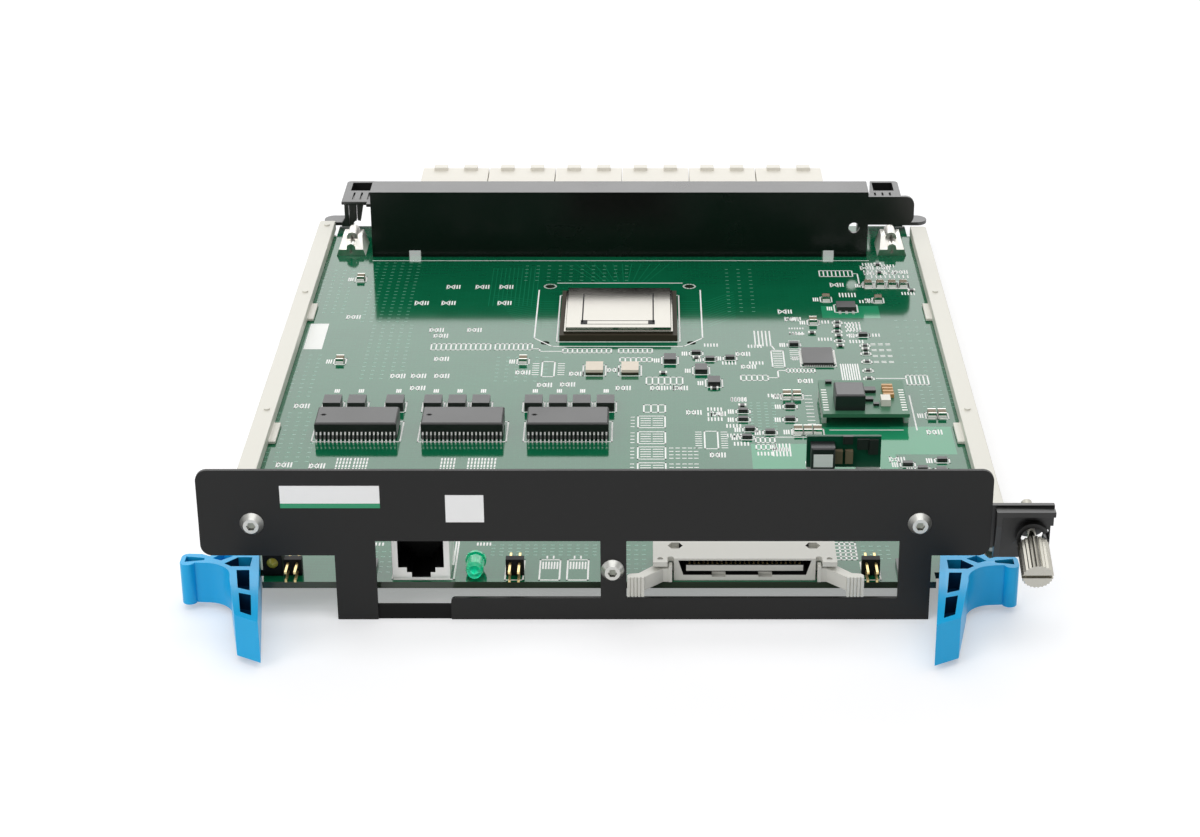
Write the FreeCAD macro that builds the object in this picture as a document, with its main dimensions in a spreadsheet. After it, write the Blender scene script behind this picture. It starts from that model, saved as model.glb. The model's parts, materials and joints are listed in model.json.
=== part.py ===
"""Cache switch board: a plug-in chassis board with a black front bezel, two blue ejector levers,
side guide rails, backplane connectors behind a black stiffener, and its parts on a green board.

Every piece is drawn in board coordinates: x to the right from the middle of the board, y to the
rear from the board's front edge, z up from the board's top face. The datum cells of the sheet then
carry the whole object to its own origin, at the middle of the underside of its outer box.
"""
import FreeCAD, Part
import math
import os
import re

import Sketcher

SIZES = {
    # Where the board's own zero lies in the finished object.
    "datum_x": -0.15, "datum_y": -131.35, "board_top": 9.1,
    # Printed board.
    "board_half_width": 112.0, "board_depth": 279.0, "board_thickness": 2.0,
    "rear_half_width": 106.5, "rear_step": 268.0,
    "corner_step_depth": 24.0, "tongue_reach": 5.0, "notch_reach": 7.3,
    "heat_sink_hole_x": 24.7, "heat_sink_hole_y": 25.4, "heat_sink_hole_radius": 1.5,
    "chip_x": -0.3, "chip_y": 189.0, "heat_sink_y": 192.8,
    # Front bezel.
    "bezel_back": -3.8, "sheet": 1.2, "bezel_left": -112.5, "bezel_right": 103.1,
    "bezel_top": 36.75, "wing_bottom": 10.9, "leg_left": -76.0, "leg_right": 87.3,
    "window_bottom": -2.4, "window_top": 15.3, "window_left": -64.8, "post_left": -3.3,
    "post_right": 3.8, "window_right": 78.4, "notch_right": -44.6, "notch_bottom": -4.55,
    "bezel_corner": 3.2, "window_corner": 1.2, "joggle": 0.5,
    "screw_left_x": -98.0, "screw_right_x": 83.6, "screw_side_z": 20.7, "screw_middle_z": 6.3,
    "screw_hole_radius": 1.7, "screw_head_radius": 3.25, "screw_head_height": 1.8,
    "screw_thread_radius": 1.5, "screw_length": 6.0, "socket_across": 1.3, "socket_depth": 1.0,
    # Brackets that hold the bezel on the board.
    "bracket_sheet": 1.5, "bracket_foot": 11.0, "bracket_top": 27.0, "bracket_low": 14.0,
    "bracket_end": -103.0, "bracket_leg_left": -75.5, "bracket_leg_right": -66.0,
    "bracket_r_left": 79.2, "bracket_r_right": 87.0, "bracket_m_half": 2.9, "bracket_m_top": 10.5,
    # Guide rails.
    "rail_outer": 113.4, "rail_inner": 107.5, "rail_top": 3.7, "rail_front": 26.0,
    "rail_rear_left": 275.0, "rail_rear_right": 269.0, "rail_groove": 112.0, "rail_web": 4.4,
    "rail_end_corner": 1.2, "rail_channel": 111.0, "rail_foot": 1.8,
    "clip_reach": 2.2, "clip_height": 1.1, "clip_length": 14.0, "clip_first": 88.0, "clip_pitch": 98.0,
    "rail_pin_x": 110.2, "rail_pin_radius": 1.0, "rail_pin_height": 0.5,
    # Rear stiffener.
    "stiffener_front": 247.0, "stiffener_left": -91.0, "stiffener_right": 89.6, "stiffener_sheet": 1.5,
    "stiffener_top": 25.0, "stiffener_flange": 12.0, "ear_right": 106.3, "ear_low": 12.5,
    "ear_high": 23.3, "ear_corner": 3.2, "stiffener_hole_x": 84.7, "stiffener_hole_z": 11.3,
    "stiffener_hole_radius": 2.0, "foot_notch_x": 75.5, "foot_notch_width": 4.4,
    "foot_notch_height": 2.5,
    # End blocks on the rear corners.
    "end_inner": 94.3, "end_outer": 104.8, "end_front": 273.0, "end_back": 296.0, "end_top": 11.9,
    "end_plate": 1.2, "end_corner": 1.6, "end_low": 1.7, "end_lip": 0.6, "end_post_depth": 3.0,
    "end_post_inner": 96.6, "end_post_outer": 103.9, "end_post_base": 98.4, "end_post_foot": 105.2,
    "end_flare": 2.2, "end_gap": 0.35, "end_gap_first": 99.1, "end_gap_pitch": 3.0, "end_passage": 1.8,
    "end_well_inner": 94.9, "end_well_outer": 102.5, "end_well_front": 285.4, "end_well_length": 8.8,
    "end_well_depth": 4.4, "end_box_low": 6.4, "end_slit": 0.6, "end_slit_front": 275.7,
    "end_slit_length": 7.4, "end_slit_pitch": 2.8, "end_arm_inner": 88.0, "end_arm_back": 282.0,
    "end_leg_front": 270.5, "end_leg_back": 275.5, "end_leg_width": 4.0, "lug_inner": 101.0,
    "lug_front": 275.0, "lug_left": 112.1, "lug_right": 114.6, "lug_half": 3.8, "lug_height": 1.3,
    # Guide sockets on the rear corners.
    "guide_x": 99.0, "guide_half": 5.3, "guide_neck": 3.5, "guide_shoulder": 5.2, "guide_axis": 2.4,
    "guide_front": 248.2, "guide_rear": 262.0, "guide_bore": 1.5, "guide_bore_depth": 7.0,
    "guide_toe": 2.4, "guide_slope": 7.8, "guide_rib": 1.6, "guide_rib_high": 3.0,
    "guide_crest": 2.0, "guide_crest_high": 5.0, "guide_crest_front": 5.6, "guide_slot": 0.9,
    "guide_slot_depth": 1.6,
    # Backplane connectors.
    "connector_count": 6, "connector_pitch": 25.0, "connector_gap": 0.3, "connector_front": 262.0,
    "connector_back": 287.8, "connector_height": 20.0, "connector_slope": 5.0, "connector_lip": 1.2,
    "contact_slot": 1.5, "contact_pitch": 2.9, "contact_slots": 8, "contact_depth": 9.0,
    "contact_low": 3.0, "contact_high": 17.5, "key_width": 5.0, "key_length": 3.4, "key_height": 1.3,
    "key_offset": 5.6,
    # Ejector levers, drawn round their own pivots.
    "lever_left_x": -104.5, "lever_left_y": 12.0, "lever_right_x": 96.9, "lever_right_y": 10.5,
    "lever_top": 5.25, "lever_low": -7.25, "hub_radius": 5.2, "pivot_radius": 1.5, "pivot_play": 0.06,
    "heel_radius": 8.2, "toe_radius": 2.1, "toe_corner": 2.0, "lever_slot_high": 0.35,
    "lever_slot_low": -2.35, "core_depth": 3.6, "handle_core_depth": 5.0, "pivot_head": 0.35,
    # Captive thumbscrew and its bracket.
    "ear_plate_left": 89.2, "ear_plate_sheet": 1.5, "hood_left": 104.2, "hood_right": 120.2,
    "hood_low": 9.8, "hood_high": 25.7, "hood_front": -6.9, "hood_sheet": 1.5, "hood_rim": 0.7,
    "ear_step_x": 119.4, "ear_step_z": 19.4, "ear_tab_low": 13.0, "thumb_x": 114.4, "thumb_z": 16.6,
    "thumb_hole": 3.2, "thumb_boss": 4.5, "thumb_boss_length": 2.2, "thumb_tilt": 18.0, "thumb_knob": 4.3,
    "thumb_knob_length": 11.4, "thumb_neck": 1.2, "thumb_shank": 1.5, "thumb_shank_length": 12.0,
    "thumb_start": -4.8, "thumb_slot": 1.1, "thumb_slot_depth": 1.2, "flute_count": 24, "flute_depth": 0.4,
    "ring_radius": 4.4, "ring_sheet": 0.8, "ring_place": 3.2, "ear_hole_x": 118.2, "ear_hole_z": 17.4,
    "ear_hole_radius": 1.0,
    # Network jack.
    "jack_x": -53.15, "jack_width": 16.0, "jack_front": 1.6, "jack_depth": 16.0, "jack_height": 13.4,
    "jack_mouth": 12.6, "jack_mouth_low": 3.7, "jack_mouth_high": 11.8, "jack_mouth_depth": 12.0,
    "jack_step_width": 7.8, "jack_step_low": 2.2, "jack_latch_width": 5.1, "jack_latch_low": 0.6,
    "jack_wire": 0.45, "jack_wire_pitch": 1.02, "jack_wire_high": 11.6, "jack_wire_low": 9.6,
    # Status lamp and indicator.
    "lamp_x": -38.3, "lamp_front": -1.0, "lamp_radius": 2.5, "lamp_length": 8.6, "lamp_rim": 2.9,
    "lamp_rim_length": 1.0, "lamp_axis": 3.0, "leg_width": 0.5, "leg_pitch": 2.54, "leg_reach": 2.2,
    "indicator_x": -94.6, "indicator_front": 3.4, "indicator_width": 5.4, "indicator_depth": 6.0,
    "indicator_height": 6.4, "indicator_axis": 3.9, "indicator_lens": 1.6, "indicator_reach": 1.2,
    # Two by two pin headers.
    "header_pitch": 2.54, "header_front": 3.6, "header_depth": 2.5, "header_height": 5.0,
    "pin_width": 0.64, "pin_reach": 5.6, "pin_tail": 2.2, "pin_low": 1.25,
    "header_left_x": -89.0, "header_middle_x": -27.3, "header_right_x": 71.7,
    # Ribbon header and its two latches.
    "ribbon_x": 36.5, "ribbon_half": 25.4, "ribbon_front": 0.9, "ribbon_back": 14.0, "ribbon_height": 6.8,
    "ribbon_ear_front": -1.2, "mouth_half_top": 18.4, "mouth_half_low": 17.0, "mouth_low": 1.7,
    "mouth_high": 6.2, "mouth_depth": 8.5, "mouth_key_first": -7.2, "mouth_key_second": 5.7,
    "mouth_key_half": 1.9, "mouth_key_low": 1.0, "mouth_key_depth": 2.0, "tongue_half": 16.2,
    "tongue_low": 2.5, "tongue_high": 4.3, "tongue_length": 7.6,
    "latch_slot_inner": 19.6, "latch_slot_high": 5.4, "latch_slot_depth": 5.6,
    "latch_arch_x": 20.5, "latch_arch": 0.9, "latch_arch_reach": 1.3, "latch_pivot_x": 23.4,
    "latch_pivot_y": 0.9, "latch_low": 0.2, "latch_high": 4.4, "latch_fin_high": 5.2, "latch_pin": 0.8,
    "latch_play": 0.06, "grip_low": -1.4, "grip_high": 4.6, "grip_outer": -9.1, "grip_inner": -4.4,
    "grip_front": -7.0, "grip_groove": 0.4, "nut_recess_x": 19.2, "nut_recess_y": 8.6,
    "nut_recess_radius": 2.1, "nut_recess_depth": 1.6, "ribbon_ways": 25, "ribbon_pitch": 1.27,
    "ribbon_contact": 0.5, "ribbon_contact_height": 0.25,
    # Main switching chip.
    "chip_base": 40.0, "chip_base_height": 1.6, "chip_stand": 0.5, "chip_lid": 37.0,
    "chip_lid_height": 2.0, "chip_lid_lip": 0.7, "chip_lid_lip_height": 0.9,
    # Line transformer modules.
    "module_width": 25.4, "module_depth": 12.6, "module_height": 5.9, "module_stand": 0.5,
    "module_front": 91.0, "module_chamfer": 0.5, "module_leads": 20, "lead_pitch": 1.27,
    "lead_width": 0.5, "lead_sheet": 0.35, "lead_shoulder": 2.9, "lead_reach": 0.9, "lead_foot": 0.8,
    "suppressor_width": 5.6, "suppressor_depth": 6.4, "suppressor_height": 3.0, "suppressor_y": 115.6,
    # Converters.
    "plate_left": 64.4, "plate_right": 91.6, "plate_front": 100.7, "plate_rear": 126.6,
    "plate_low": 3.3, "plate_sheet": 1.2, "plate_post": 1.4, "plate_posts": 6, "coil_left": 68.4,
    "coil_width": 9.4, "coil_front": 103.2, "coil_depth": 10.4, "coil_height": 5.4,
    "upright_left": 57.3, "upright_right": 79.6, "upright_y": 67.4, "upright_sheet": 1.2,
    "upright_low": 2.4, "upright_top": 12.6, "choke_left": 58.4, "choke_width": 7.2,
    "choke_depth": 5.0, "choke_low": 3.4, "choke_height": 7.6, "upright_foot": 6.4,
    "upright_foot_length": 7.4,
    # Small parts.
    "flash_width": 10.2, "flash_depth": 13.0, "flash_height": 1.2, "flash_x": 66.1, "flash_y": 154.5,
    "flash_leads": 14, "flash_lead_pitch": 0.8, "flash_lead_reach": 0.8,
    "regulator_x": 78.6, "regulator_y": 197.6, "regulator_width": 6.6, "regulator_depth": 5.6,
    "regulator_height": 1.7, "regulator_lead": 0.9, "regulator_lead_reach": 2.2,
    "regulator_lead_pitch": 2.3, "regulator_tab": 3.1,
    "capacitor_width": 2.5, "capacitor_depth": 3.4, "capacitor_height": 1.7,
    "resistor_width": 2.0, "resistor_depth": 1.25, "resistor_height": 0.55,
    "driver_width": 4.0, "driver_depth": 5.0, "driver_height": 1.6, "switch_width": 3.0,
    "switch_depth": 1.7, "switch_height": 1.1, "crystal_width": 5.6, "crystal_depth": 7.0,
    "crystal_height": 1.7,
}

# Middles of the small parts on the board, x and y.
CAPACITORS = [(-93.0, 224.8), (-92.4, 151.7), (-31.7, 151.7), (72.2, 205.9), (90.4, 205.0),
              (66.4, 185.0), (99.5, 109.1), (102.7, 109.1), (54.4, 123.6), (57.6, 123.6),
              (56.6, 97.0), (59.6, 97.0), (62.6, 97.0), (88.0, 219.0), (92.3, 219.0),
              (96.5, 219.0), (100.5, 219.0)]
DRIVERS = [(17.0, 152.6), (27.2, 144.2), (31.2, 134.2)]
SWITCHES = [(25.8, 158.3), (30.3, 153.3), (37.0, 154.2), (55.0, 115.9), (54.5, 106.1), (39.9, 112.2),
            (39.7, 106.1), (41.6, 98.7), (40.5, 92.9), (47.8, 96.5), (58.8, 165.6), (82.7, 173.6),
            (99.3, 76.6), (88.6, 73.8), (92.8, 70.6), (98.4, 69.6)]
RESISTORS = [(74.7, 184.9), (74.1, 177.0), (74.4, 168.8), (82.7, 164.9), (82.5, 158.2),
             (82.3, 151.5), (82.1, 144.2), (81.9, 137.7)]
CRYSTALS = [(-7.9, 144.4), (3.8, 144.4)]
SUPPRESSORS = [-90.7, -82.9, -70.8, -58.7, -51.0, -43.4, -26.7, -18.9, -11.4, -3.8]
MODULES = [-80.8, -47.9, -15.2]
RAIL_PINS = {-1: [106.0, 204.0, 270.0], 1: [106.0, 204.0]}
HEADERS = ["left", "middle", "right"]

FORWARD = -1
BACKWARD = 1
UP = 1
DOWN = -1
NORMALS = {"XY_Plane": 1, "XZ_Plane": -1, "YZ_Plane": 1}

doc = FreeCAD.newDocument("cache_switch_board")
sheet = doc.addObject("Spreadsheet::Sheet", "dims")
for row, (alias, number) in enumerate(SIZES.items(), start=1):
    sheet.set(f"A{row}", alias)
    sheet.set(f"B{row}", str(number))
    sheet.setAlias(f"B{row}", alias)
doc.recompute()

nodes = []
planes = {}
cuts = []


def cells(expression):
    """Turn the sheet's names in an expression into references to its cells."""
    return re.sub(r"[a-z][a-z_]*", lambda word: "dims." + word.group(), str(expression))


def size(expression):
    """The number that an expression on the sheet gives."""
    return float(sheet.evalExpression(cells(expression)))


def bind(target, **expressions):
    for name, expression in expressions.items():
        target.setExpression(name, cells(expression))


def keep(piece, label, x="0", y="0", z="0"):
    """Name a finished piece, carry it to the object's datum and put it on the list to write."""
    piece.Label = label
    piece.setExpression("Placement.Base.x", cells(f"datum_x + {x}"))
    piece.setExpression("Placement.Base.y", cells(f"datum_y + {y}"))
    piece.setExpression("Placement.Base.z", cells(f"board_top + {z}"))
    nodes.append(piece)
    return piece


def new_body(name):
    return doc.addObject("PartDesign::Body", name)


def new_sketch(body, plane, at):
    sketch = body.newObject("Sketcher::SketchObject", body.Name + "_sketch")
    support = [item for item in body.Origin.OriginFeatures if item.Role == plane][0]
    sketch.AttachmentSupport = (support, "")
    sketch.MapMode = "FlatFace"
    sketch.setExpression("AttachmentOffset.Base.z", cells(f"({at}) * {NORMALS[plane]}"))
    planes[sketch.Name] = plane
    return sketch


def arc_between(start, end, radius, turn):
    """The arc from start to end, turning left for 1 and right for -1, as the shorter way round."""
    chord = end - start
    middle = (start + end) * 0.5
    rise = math.sqrt(max(radius ** 2 - chord.Length ** 2 / 4, 0))
    left = FreeCAD.Vector(-chord.y, chord.x, 0).normalize()
    centre = middle + left * (rise * turn)
    first, last = (start, end) if turn > 0 else (end, start)
    angles = [math.atan2(point.y - centre.y, point.x - centre.x) for point in (first, last)]
    circle = Part.Circle(centre, FreeCAD.Vector(0, 0, 1), radius)
    return Part.ArcOfCircle(circle, angles[0], angles[1])


def outline(body, plane, at, corners, bends=None):
    """A closed sketch through its corners. A bend makes the side after a corner an arc."""
    bends = bends or {}
    sketch = new_sketch(body, plane, at)
    points = [FreeCAD.Vector(size(u), size(v), 0) for u, v in corners]
    count = len(points)
    ends = []
    for index, start in enumerate(points):
        end = points[(index + 1) % count]
        if index in bends:
            radius, turn = bends[index]
            sketch.addGeometry(arc_between(start, end, size(radius), turn))
            ends.append((1, 2) if turn > 0 else (2, 1))
        else:
            sketch.addGeometry(Part.LineSegment(start, end))
            ends.append((1, 2))
    for index in range(count):
        follower = (index + 1) % count
        sketch.addConstraint(Sketcher.Constraint("Coincident", index, ends[index][1],
                                                 follower, ends[follower][0]))
    for index, (u, v) in enumerate(corners):
        for kind, expression in (("DistanceX", u), ("DistanceY", v)):
            rule = Sketcher.Constraint(kind, index, ends[index][0], size(expression))
            number = sketch.addConstraint(rule)
            sketch.setExpression(f"Constraints[{number}]", cells(expression))
    for index, (radius, turn) in bends.items():
        number = sketch.addConstraint(Sketcher.Constraint("Radius", index, size(radius)))
        sketch.setExpression(f"Constraints[{number}]", cells(radius))
    return sketch


def rectangle(body, plane, at, left, low, right, high):
    return outline(body, plane, at, [(left, low), (right, low), (right, high), (left, high)])


def circles(body, plane, at, centres, radius):
    sketch = new_sketch(body, plane, at)
    for index, (u, v) in enumerate(centres):
        middle = FreeCAD.Vector(size(u), size(v), 0)
        sketch.addGeometry(Part.Circle(middle, FreeCAD.Vector(0, 0, 1), size(radius)))
        rules = [("DistanceX", (index, 3), u), ("DistanceY", (index, 3), v), ("Radius", (index,), radius)]
        for kind, place, expression in rules:
            number = sketch.addConstraint(Sketcher.Constraint(kind, *place, size(expression)))
            sketch.setExpression(f"Constraints[{number}]", cells(expression))
    return sketch


def regular(count, radius, x="0", y="0"):
    """The corners of a regular polygon about a middle."""
    corners = []
    for number in range(count):
        turn = 2 * math.pi * number / count
        corners.append((f"{x} + {radius} * {math.cos(turn):.5f}", f"{y} + {radius} * {math.sin(turn):.5f}"))
    return corners


def pad(body, sketch, length, toward):
    feature = body.newObject("PartDesign::Pad", body.Name + "_pad")
    feature.Profile = sketch
    bind(feature, Length=length)
    feature.Reversed = toward * NORMALS[planes[sketch.Name]] < 0
    return feature


def pocket(body, sketch, length, toward):
    before = body.Tip
    feature = body.newObject("PartDesign::Pocket", body.Name + "_pocket")
    feature.Profile = sketch
    bind(feature, Length=length)
    feature.Reversed = toward * NORMALS[planes[sketch.Name]] > 0
    cuts.append((before, feature))
    return feature


def cut_through(body, sketch):
    before = body.Tip
    feature = body.newObject("PartDesign::Pocket", body.Name + "_window")
    feature.Profile = sketch
    feature.Type = "ThroughAll"
    feature.SideType = "Symmetric"
    cuts.append((before, feature))
    return feature


def revolve(body, sketch, axis):
    feature = body.newObject("PartDesign::Revolution", body.Name + "_turned")
    feature.Profile = sketch
    feature.ReferenceAxis = (sketch, [axis])
    feature.Angle = 360
    return feature


def edges_of(body, test):
    doc.recompute()
    shape = body.Tip.Shape
    return [f"Edge{number}" for number, edge in enumerate(shape.Edges, start=1) if test(edge)]


def straight_along(edge, axis):
    return edge.Curve.TypeId == "Part::GeomLine" and abs(edge.Curve.Direction.dot(axis)) > 0.999


def dress(body, kind, amount, test):
    """Fillet or chamfer those edges of a body that pass the test."""
    names = edges_of(body, test)
    base = body.Tip
    feature = body.newObject("PartDesign::" + kind, body.Name + "_edges")
    feature.Base = (base, names)
    if kind == "Fillet":
        bind(feature, Radius=amount)
    else:
        bind(feature, Size=amount)
    return feature


def repeat_along(body, feature, axis, length, count):
    pattern = body.newObject("PartDesign::LinearPattern", body.Name + "_row")
    pattern.Originals = [feature]
    pattern.Direction = ([item for item in body.Origin.OriginFeatures if item.Role == axis][0], [""])
    bind(pattern, Length=length, Occurrences=count)
    body.Tip = pattern
    return pattern


def block(name, length, width, height, x, y, z):
    """A plain block by its left, front and lower sides, in board coordinates."""
    piece = doc.addObject("Part::Box", name)
    bind(piece, Length=length, Width=width, Height=height)
    for axis, expression in (("x", x), ("y", y), ("z", z)):
        piece.setExpression(f"Placement.Base.{axis}", cells(expression))
    return piece


def block_on(name, length, width, height, middle, z="0"):
    """A block about a middle point on the board."""
    corner = (f"{middle[0]} - {length} / 2", f"{middle[1]} - {width} / 2")
    return block(name, length, width, height, *corner, z)


def group(label, pieces):
    piece = doc.addObject("Part::Compound", label)
    piece.Links = pieces
    return keep(piece, label)


def extruded(points, direction):
    """A solid from a flat outline of points, pulled along a direction."""
    wire = Part.makePolygon(points + points[:1])
    return Part.Face(wire).extrude(direction)


def main_board():
    body = new_body("main_board")
    corners = [
        ("lever_left_x + notch_reach", "0"),
        ("lever_right_x - notch_reach", "0"),
        ("lever_right_x - notch_reach", "lever_right_y - tongue_reach"),
        ("lever_right_x + tongue_reach", "lever_right_y - tongue_reach"),
        ("lever_right_x + tongue_reach", "corner_step_depth"),
        ("board_half_width", "corner_step_depth"),
        ("board_half_width", "rear_step"),
        ("rear_half_width", "rear_step"),
        ("rear_half_width", "board_depth"),
        ("-rear_half_width", "board_depth"),
        ("-rear_half_width", "rear_step"),
        ("-board_half_width", "rear_step"),
        ("-board_half_width", "corner_step_depth"),
        ("lever_left_x - tongue_reach", "corner_step_depth"),
        ("lever_left_x - tongue_reach", "lever_left_y - tongue_reach"),
        ("lever_left_x + notch_reach", "lever_left_y - tongue_reach"),
    ]
    pad(body, outline(body, "XY_Plane", "0", corners), "board_thickness", DOWN)
    pivots = [("lever_left_x", "lever_left_y"), ("lever_right_x", "lever_right_y")]
    cut_through(body, circles(body, "XY_Plane", "0", pivots, "pivot_radius"))
    sink_holes = []
    for side in ("-", ""):
        for end in ("-", "+"):
            sink_holes.append((f"chip_x + {side}heat_sink_hole_x", f"heat_sink_y {end} heat_sink_hole_y"))
    cut_through(body, circles(body, "XY_Plane", "0", sink_holes, "heat_sink_hole_radius"))
    keep(body, "main_board")


def bezel_panel():
    body = new_body("bezel_panel")
    corners = [
        ("leg_left", "-board_top"), ("leg_right", "-board_top"), ("leg_right", "wing_bottom"),
        ("bezel_right", "wing_bottom"), ("bezel_right", "bezel_top"), ("bezel_left", "bezel_top"),
        ("bezel_left", "wing_bottom"), ("leg_left", "wing_bottom"),
    ]
    pad(body, outline(body, "XZ_Plane", "bezel_back", corners), "sheet", FORWARD)
    left_window = [
        ("window_left", "notch_bottom"), ("notch_right", "notch_bottom"),
        ("notch_right", "window_bottom"), ("post_left", "window_bottom"),
        ("post_left", "window_top"), ("window_left", "window_top"),
    ]
    cut_through(body, outline(body, "XZ_Plane", "bezel_back", left_window))
    cut_through(body, rectangle(body, "XZ_Plane", "bezel_back", "post_right", "window_bottom",
                                "window_right", "window_top"))
    holes = [("screw_left_x", "screw_side_z"), ("screw_right_x", "screw_side_z"), ("0", "screw_middle_z")]
    cut_through(body, circles(body, "XZ_Plane", "bezel_back", holes, "screw_hole_radius"))
    bar = rectangle(body, "XZ_Plane", "bezel_back - sheet", "window_left", "-board_top - 1",
                    "notch_right", "notch_bottom + 1")
    pocket(body, bar, "joggle", BACKWARD)
    across = FreeCAD.Vector(0, 1, 0)
    ends = (size("bezel_left"), size("bezel_right"))
    dress(body, "Fillet", "bezel_corner", lambda edge: straight_along(edge, across)
          and min(abs(edge.CenterOfMass.x - end) for end in ends) < 0.01)
    step = (size("notch_right"), size("window_bottom"))
    dress(body, "Fillet", "window_corner", lambda edge: straight_along(edge, across)
          and math.dist(step, (edge.CenterOfMass.x, edge.CenterOfMass.z)) < 0.01)
    keep(body, "bezel_panel")


def bezel_screw(name, x, z):
    """A button head screw with a hexagon socket, its head on the bezel's front face."""
    body = new_body(name)
    profile = [
        ("0", "0"), ("screw_head_radius", "0"), ("screw_head_radius * 0.65", "-screw_head_height"),
        ("0", "-screw_head_height"),
    ]
    revolve(body, outline(body, "XY_Plane", "0", profile), "V_Axis")
    shank = outline(body, "XZ_Plane", "0", regular(12, "screw_thread_radius"))
    pad(body, shank, "screw_length", BACKWARD)
    socket = outline(body, "XZ_Plane", "-screw_head_height", regular(6, "socket_across"))
    pocket(body, socket, "socket_depth", BACKWARD)
    body.setExpression("Placement.Base.x", cells(x))
    body.setExpression("Placement.Base.y", cells("bezel_back - sheet"))
    body.setExpression("Placement.Base.z", cells(z))
    return body


def bezel_screws():
    group("bezel_screws", [
        bezel_screw("screw_left", "screw_left_x", "screw_side_z"),
        bezel_screw("screw_right", "screw_right_x", "screw_side_z"),
        bezel_screw("screw_middle", "0", "screw_middle_z"),
    ])


def panel_bracket(label, wall, foot_left, foot_right, hole):
    """A folded bracket: a wall behind the bezel, and a foot that lies on the board."""
    body = new_body(label)
    pad(body, outline(body, "XZ_Plane", "bezel_back", wall), "bracket_sheet", BACKWARD)
    foot = rectangle(body, "XY_Plane", "0", foot_left, "bezel_back", foot_right, "bracket_foot")
    pad(body, foot, "bracket_sheet", UP)
    cut_through(body, circles(body, "XZ_Plane", "bezel_back", [hole], "screw_thread_radius"))
    keep(body, label)


def panel_brackets():
    left_wall = [
        ("bracket_leg_left", "0"), ("bracket_leg_right", "0"), ("bracket_leg_right", "bracket_top"),
        ("bracket_end", "bracket_top"), ("bracket_end", "bracket_low"), ("bracket_leg_left", "bracket_low"),
    ]
    panel_bracket("panel_bracket_left", left_wall, "bracket_leg_left", "bracket_leg_right",
                  ("screw_left_x", "screw_side_z"))
    right_wall = [
        ("bracket_r_left", "0"), ("bracket_r_right", "0"), ("bracket_r_right", "bracket_top"),
        ("bracket_r_left", "bracket_top"),
    ]
    panel_bracket("panel_bracket_right", right_wall, "bracket_r_left", "bracket_r_right",
                  ("screw_right_x", "screw_side_z"))
    middle_wall = [
        ("-bracket_m_half", "0"), ("bracket_m_half", "0"), ("bracket_m_half", "bracket_m_top"),
        ("-bracket_m_half", "bracket_m_top"),
    ]
    panel_bracket("panel_bracket_middle", middle_wall, "-bracket_m_half", "bracket_m_half",
                  ("0", "screw_middle_z"))


def guide_rail(label, side, rear):
    """A moulded rail whose groove holds the board's edge, with three clips over the board."""
    body = new_body(label)
    section = [
        ("rail_outer", "-board_top"), ("rail_inner", "-board_top"),
        ("rail_inner", "rail_foot - board_top"), ("rail_channel", "rail_foot - board_top"),
        ("rail_channel", "-rail_web"), ("rail_inner", "-rail_web"),
        ("rail_inner", "-board_thickness"), ("rail_groove", "-board_thickness"),
        ("rail_groove", "0"), ("rail_inner", "0"), ("rail_inner", "rail_top"), ("rail_outer", "rail_top"),
    ]
    section = [(f"{side} * {x}", z) for x, z in section]
    pad(body, outline(body, "XZ_Plane", "rail_front", section), f"{rear} - rail_front", BACKWARD)
    inner = f"{side} * (rail_inner - clip_reach)"
    clip = rectangle(body, "XY_Plane", "0", inner, "clip_first", f"{side} * (rail_inner + 1)",
                     "clip_first + clip_length")
    repeat_along(body, pad(body, clip, "clip_height", UP), "Y_Axis", "clip_pitch", 2)
    upright = FreeCAD.Vector(0, 0, 1)
    corner = (side * size("rail_outer"), size(rear))
    dress(body, "Fillet", "rail_end_corner", lambda edge: straight_along(edge, upright)
          and math.dist(corner, (edge.CenterOfMass.x, edge.CenterOfMass.y)) < 0.01)
    keep(body, label)


def rail_pins():
    """Rivet heads on top of the rails."""
    heads = []
    for side, places in RAIL_PINS.items():
        for place in places:
            head = doc.addObject("Part::Prism", "rail_pin")
            head.Polygon = 12
            bind(head, Circumradius="rail_pin_radius", Height="rail_pin_height")
            head.setExpression("Placement.Base.x", cells(f"{side} * rail_pin_x"))
            head.setExpression("Placement.Base.y", str(place))
            head.setExpression("Placement.Base.z", cells("rail_top"))
            heads.append(head)
    group("rail_pins", heads)


def rear_stiffener():
    """A folded black sheet: a wall with an ear at its right, and a flange along its top."""
    body = new_body("rear_stiffener")
    wall = [
        ("stiffener_left", "0"), ("stiffener_right", "0"), ("stiffener_right", "ear_low"),
        ("ear_right", "ear_low"), ("ear_right", "ear_high"), ("stiffener_right", "ear_high"),
        ("stiffener_right", "stiffener_top"), ("stiffener_left", "stiffener_top"),
    ]
    pad(body, outline(body, "XZ_Plane", "stiffener_front", wall), "stiffener_sheet", BACKWARD)
    flange = rectangle(body, "XY_Plane", "stiffener_top", "stiffener_left", "stiffener_front",
                       "stiffener_right", "stiffener_front + stiffener_flange")
    pad(body, flange, "stiffener_sheet", DOWN)
    for side in ("-", ""):
        middle = f"{side}foot_notch_x"
        foot = rectangle(body, "XZ_Plane", "stiffener_front", f"{middle} - foot_notch_width / 2", "-1",
                         f"{middle} + foot_notch_width / 2", "foot_notch_height")
        cut_through(body, foot)
    hole = [("stiffener_hole_x", "stiffener_hole_z")]
    cut_through(body, circles(body, "XZ_Plane", "stiffener_front", hole, "stiffener_hole_radius"))
    across = FreeCAD.Vector(0, 1, 0)
    dress(body, "Fillet", "ear_corner", lambda edge: straight_along(edge, across)
          and abs(edge.CenterOfMass.x - size("ear_right")) < 0.01)
    keep(body, "rear_stiffener")


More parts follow.
